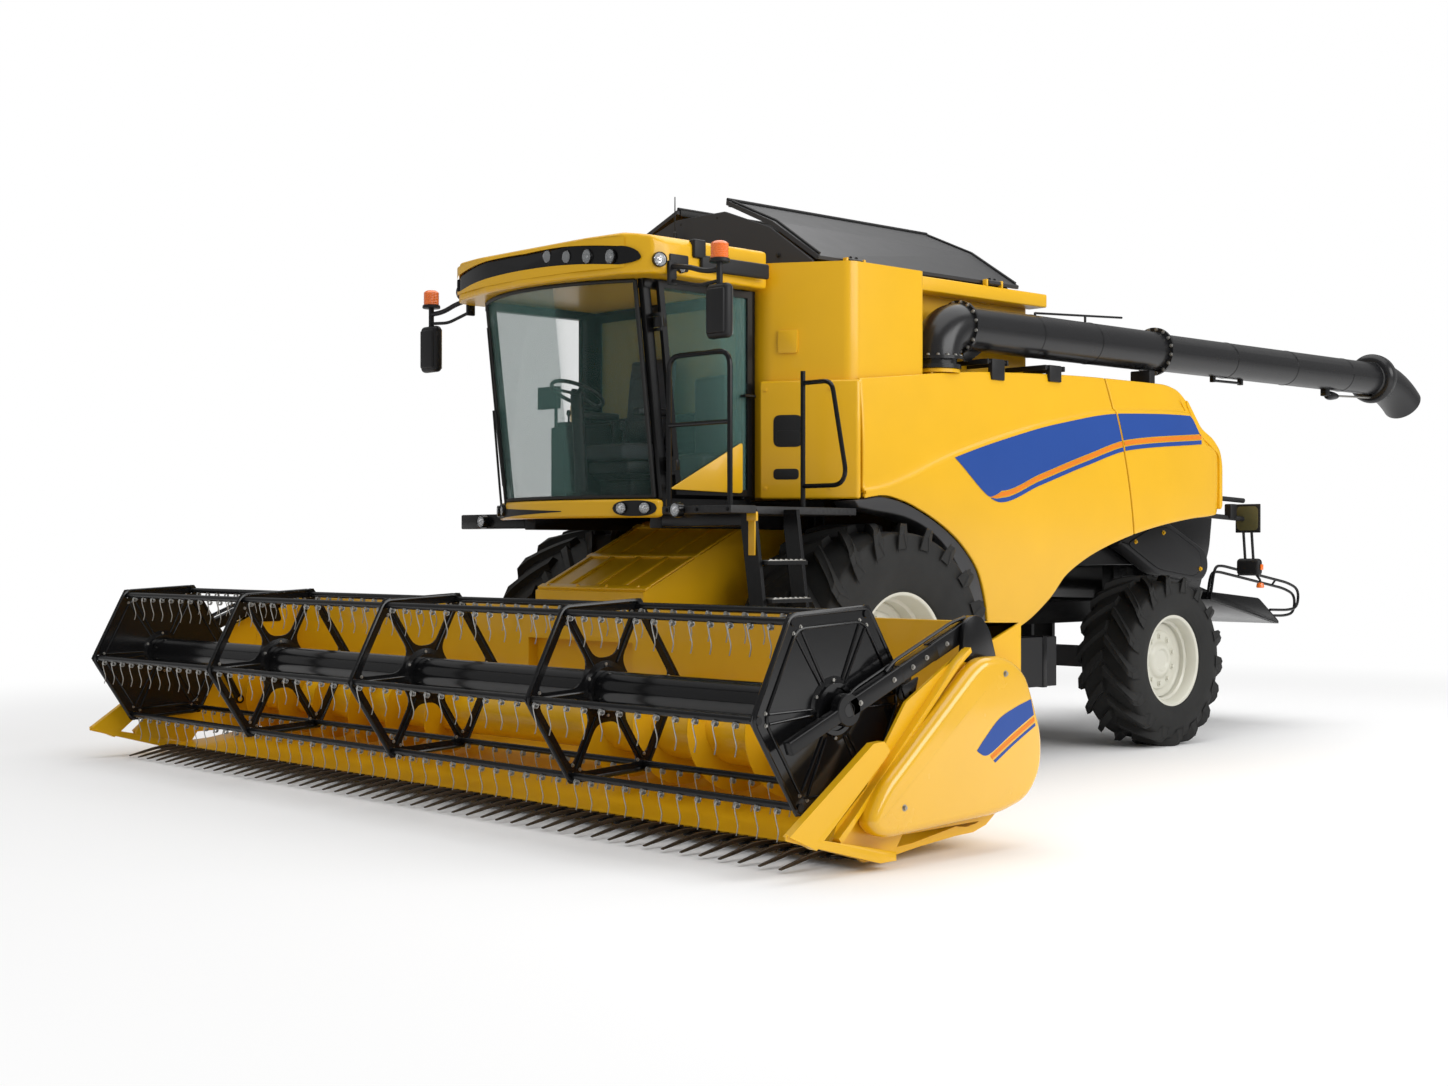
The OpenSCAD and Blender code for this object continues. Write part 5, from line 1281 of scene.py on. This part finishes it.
pipe(form, [lean @ Vector((-0.014, y, z)) for y,
            z in ((0.02, 0.055), (-0.12, 0.070), (-0.94, 0.064), (-1.0, 0.045))], 0.007, 0.05)
bolts(pips, [lean @ Vector((0.031, y, 0.0)) for y in (-0.96, -0.68, -0.52, -0.40)], (1, 0, 0), 0.010)
bolts(pips, [lean @ Vector((0.031, y, 0.0)) for y in (-0.22, -0.08, -0.02)], (1, 0, 0), 0.009)
mirrored(form)
mirrored(pips)
made(form, "arm_boxes", black_paint, "reel_arms", ["reel_arms"])
made(pips, "arm_bolts", zinc, "reel_arms")
form = bmesh.new()
turned(form, [(0, -3.79), (0.035, -3.79), (0.035, -3.69)] + shaft(0.11, 3.69, 30)[1:-1]
       + [(0.035, 3.69), (0.035, 3.79), (0, 3.79)], at((0, REEL_Y, REEL_Z), 90, "Y"), 64)
made(form, "reel_tube", gloss_black, "reel_drum", ["reel_drum"])
dressed("reel_spiders", gloss_black, 0.003)


def reel_place(x, radius, degrees):
    a = math.radians(REEL_TURN + degrees)
    return Vector((x, REEL_Y + radius * math.cos(a), REEL_Z + radius * math.sin(a)))


form, heads = forms(2)
for x, full in ((-3.67, True), (-1.845, False), (0, False), (1.845, False), (3.67, True)):
    pipe(form, [reel_place(x, 0.580, 60 * k) for k in range(6)], 0.015, 0.05, True)
    for off in (-0.009, 0.009):
        if full:
            pipe(form, [reel_place(x + off, 0.50, 60 * k) for k in range(6)], 0.008, 0.06, True)
            for k in range(6):
                pipe(form, [reel_place(x + off, 0.16, 60 * k + 5), reel_place(x + off, 0.47, 60 * k + 3)],
                     0.007)
                pipe(form, [reel_place(x + off, 0.16, 60 * k - 5), reel_place(x + off, 0.47, 60 * k - 3)],
                     0.007)
        else:
            for k in range(6):
                pipe(form, [reel_place(x + off, 0.175, 60 * k), reel_place(x + off, 0.50, 60 * k)], 0.008)
        bolts(heads, [reel_place(x + off * 0.67, 0.15, 60 * k + 30) for k in range(6)], (off, 0, 0),
              0.011)
        bolts(heads, [reel_place(x + off * 0.67, REEL_R - 0.052,
                                 60 * k + dk) for k in range(6) for dk in (-3.5, 3.5)],
              (off, 0, 0), 0.008)
    turned(form, [(0.112, -0.03), (0.135, -0.03), (0.14, -0.012), (0.17, -0.008), (0.17, 0.008),
                  (0.14, 0.012), (0.135, 0.03),
                  (0.112, 0.03)], at((x, REEL_Y, REEL_Z), 90, "Y"), 40)
made(form, "reel_beads", gloss_black, "reel_spiders")
made(heads, "reel_bolts", zinc, "reel_spiders")
spring_wire = mottled("spring_wire", 18.0, (0.34, 0.34, 0.33), (0.55, 0.55, 0.53), (0.32, 0.15, 30.0),
                      Metallic=0.8)
PITCH = 0.15
for i in range(1, 7):
    bar, wires = forms(2)
    foot = reel_place(0, REEL_R, 60 * i)
    turned(bar, shaft(0.021, 3.685, 30), at(foot, 90, "Y"), 20)
    for k in range(-24, 24):
        x = (k + 0.5) * PITCH
        x += math.copysign(0.02, x) * (abs(abs(x) - 1.845) < 0.04)
        coil = [(x - 0.012 + 0.024 * t / 20, -0.012 + 0.015 * math.sin(math.tau * t / 8),
                 -0.030 + 0.015 * math.cos(math.tau * t / 8))
                for t in range(21)]
        drop = [(x, -0.026, -0.045), (x, -0.016, -0.09), (x, -0.004, -0.13), (x, -0.004, -0.155),
                (x, -0.014, -0.190)]
        pipe(wires, [foot + Vector(p) for p in [(x - 0.012, 0.0, 0.018)] + coil], 0.0042, 0, sides=1)
        pipe(wires, [foot + Vector(p) for p in flowing([(x + 0.012, -0.024, -0.022)] + drop, 2)], 0.0034,
             0, sides=1)
    node = "tine_bar_%d" % i
    made(bar, node + "_tube", black_paint, node, [node])
    made(wires, node + "_wires", spring_wire, node)
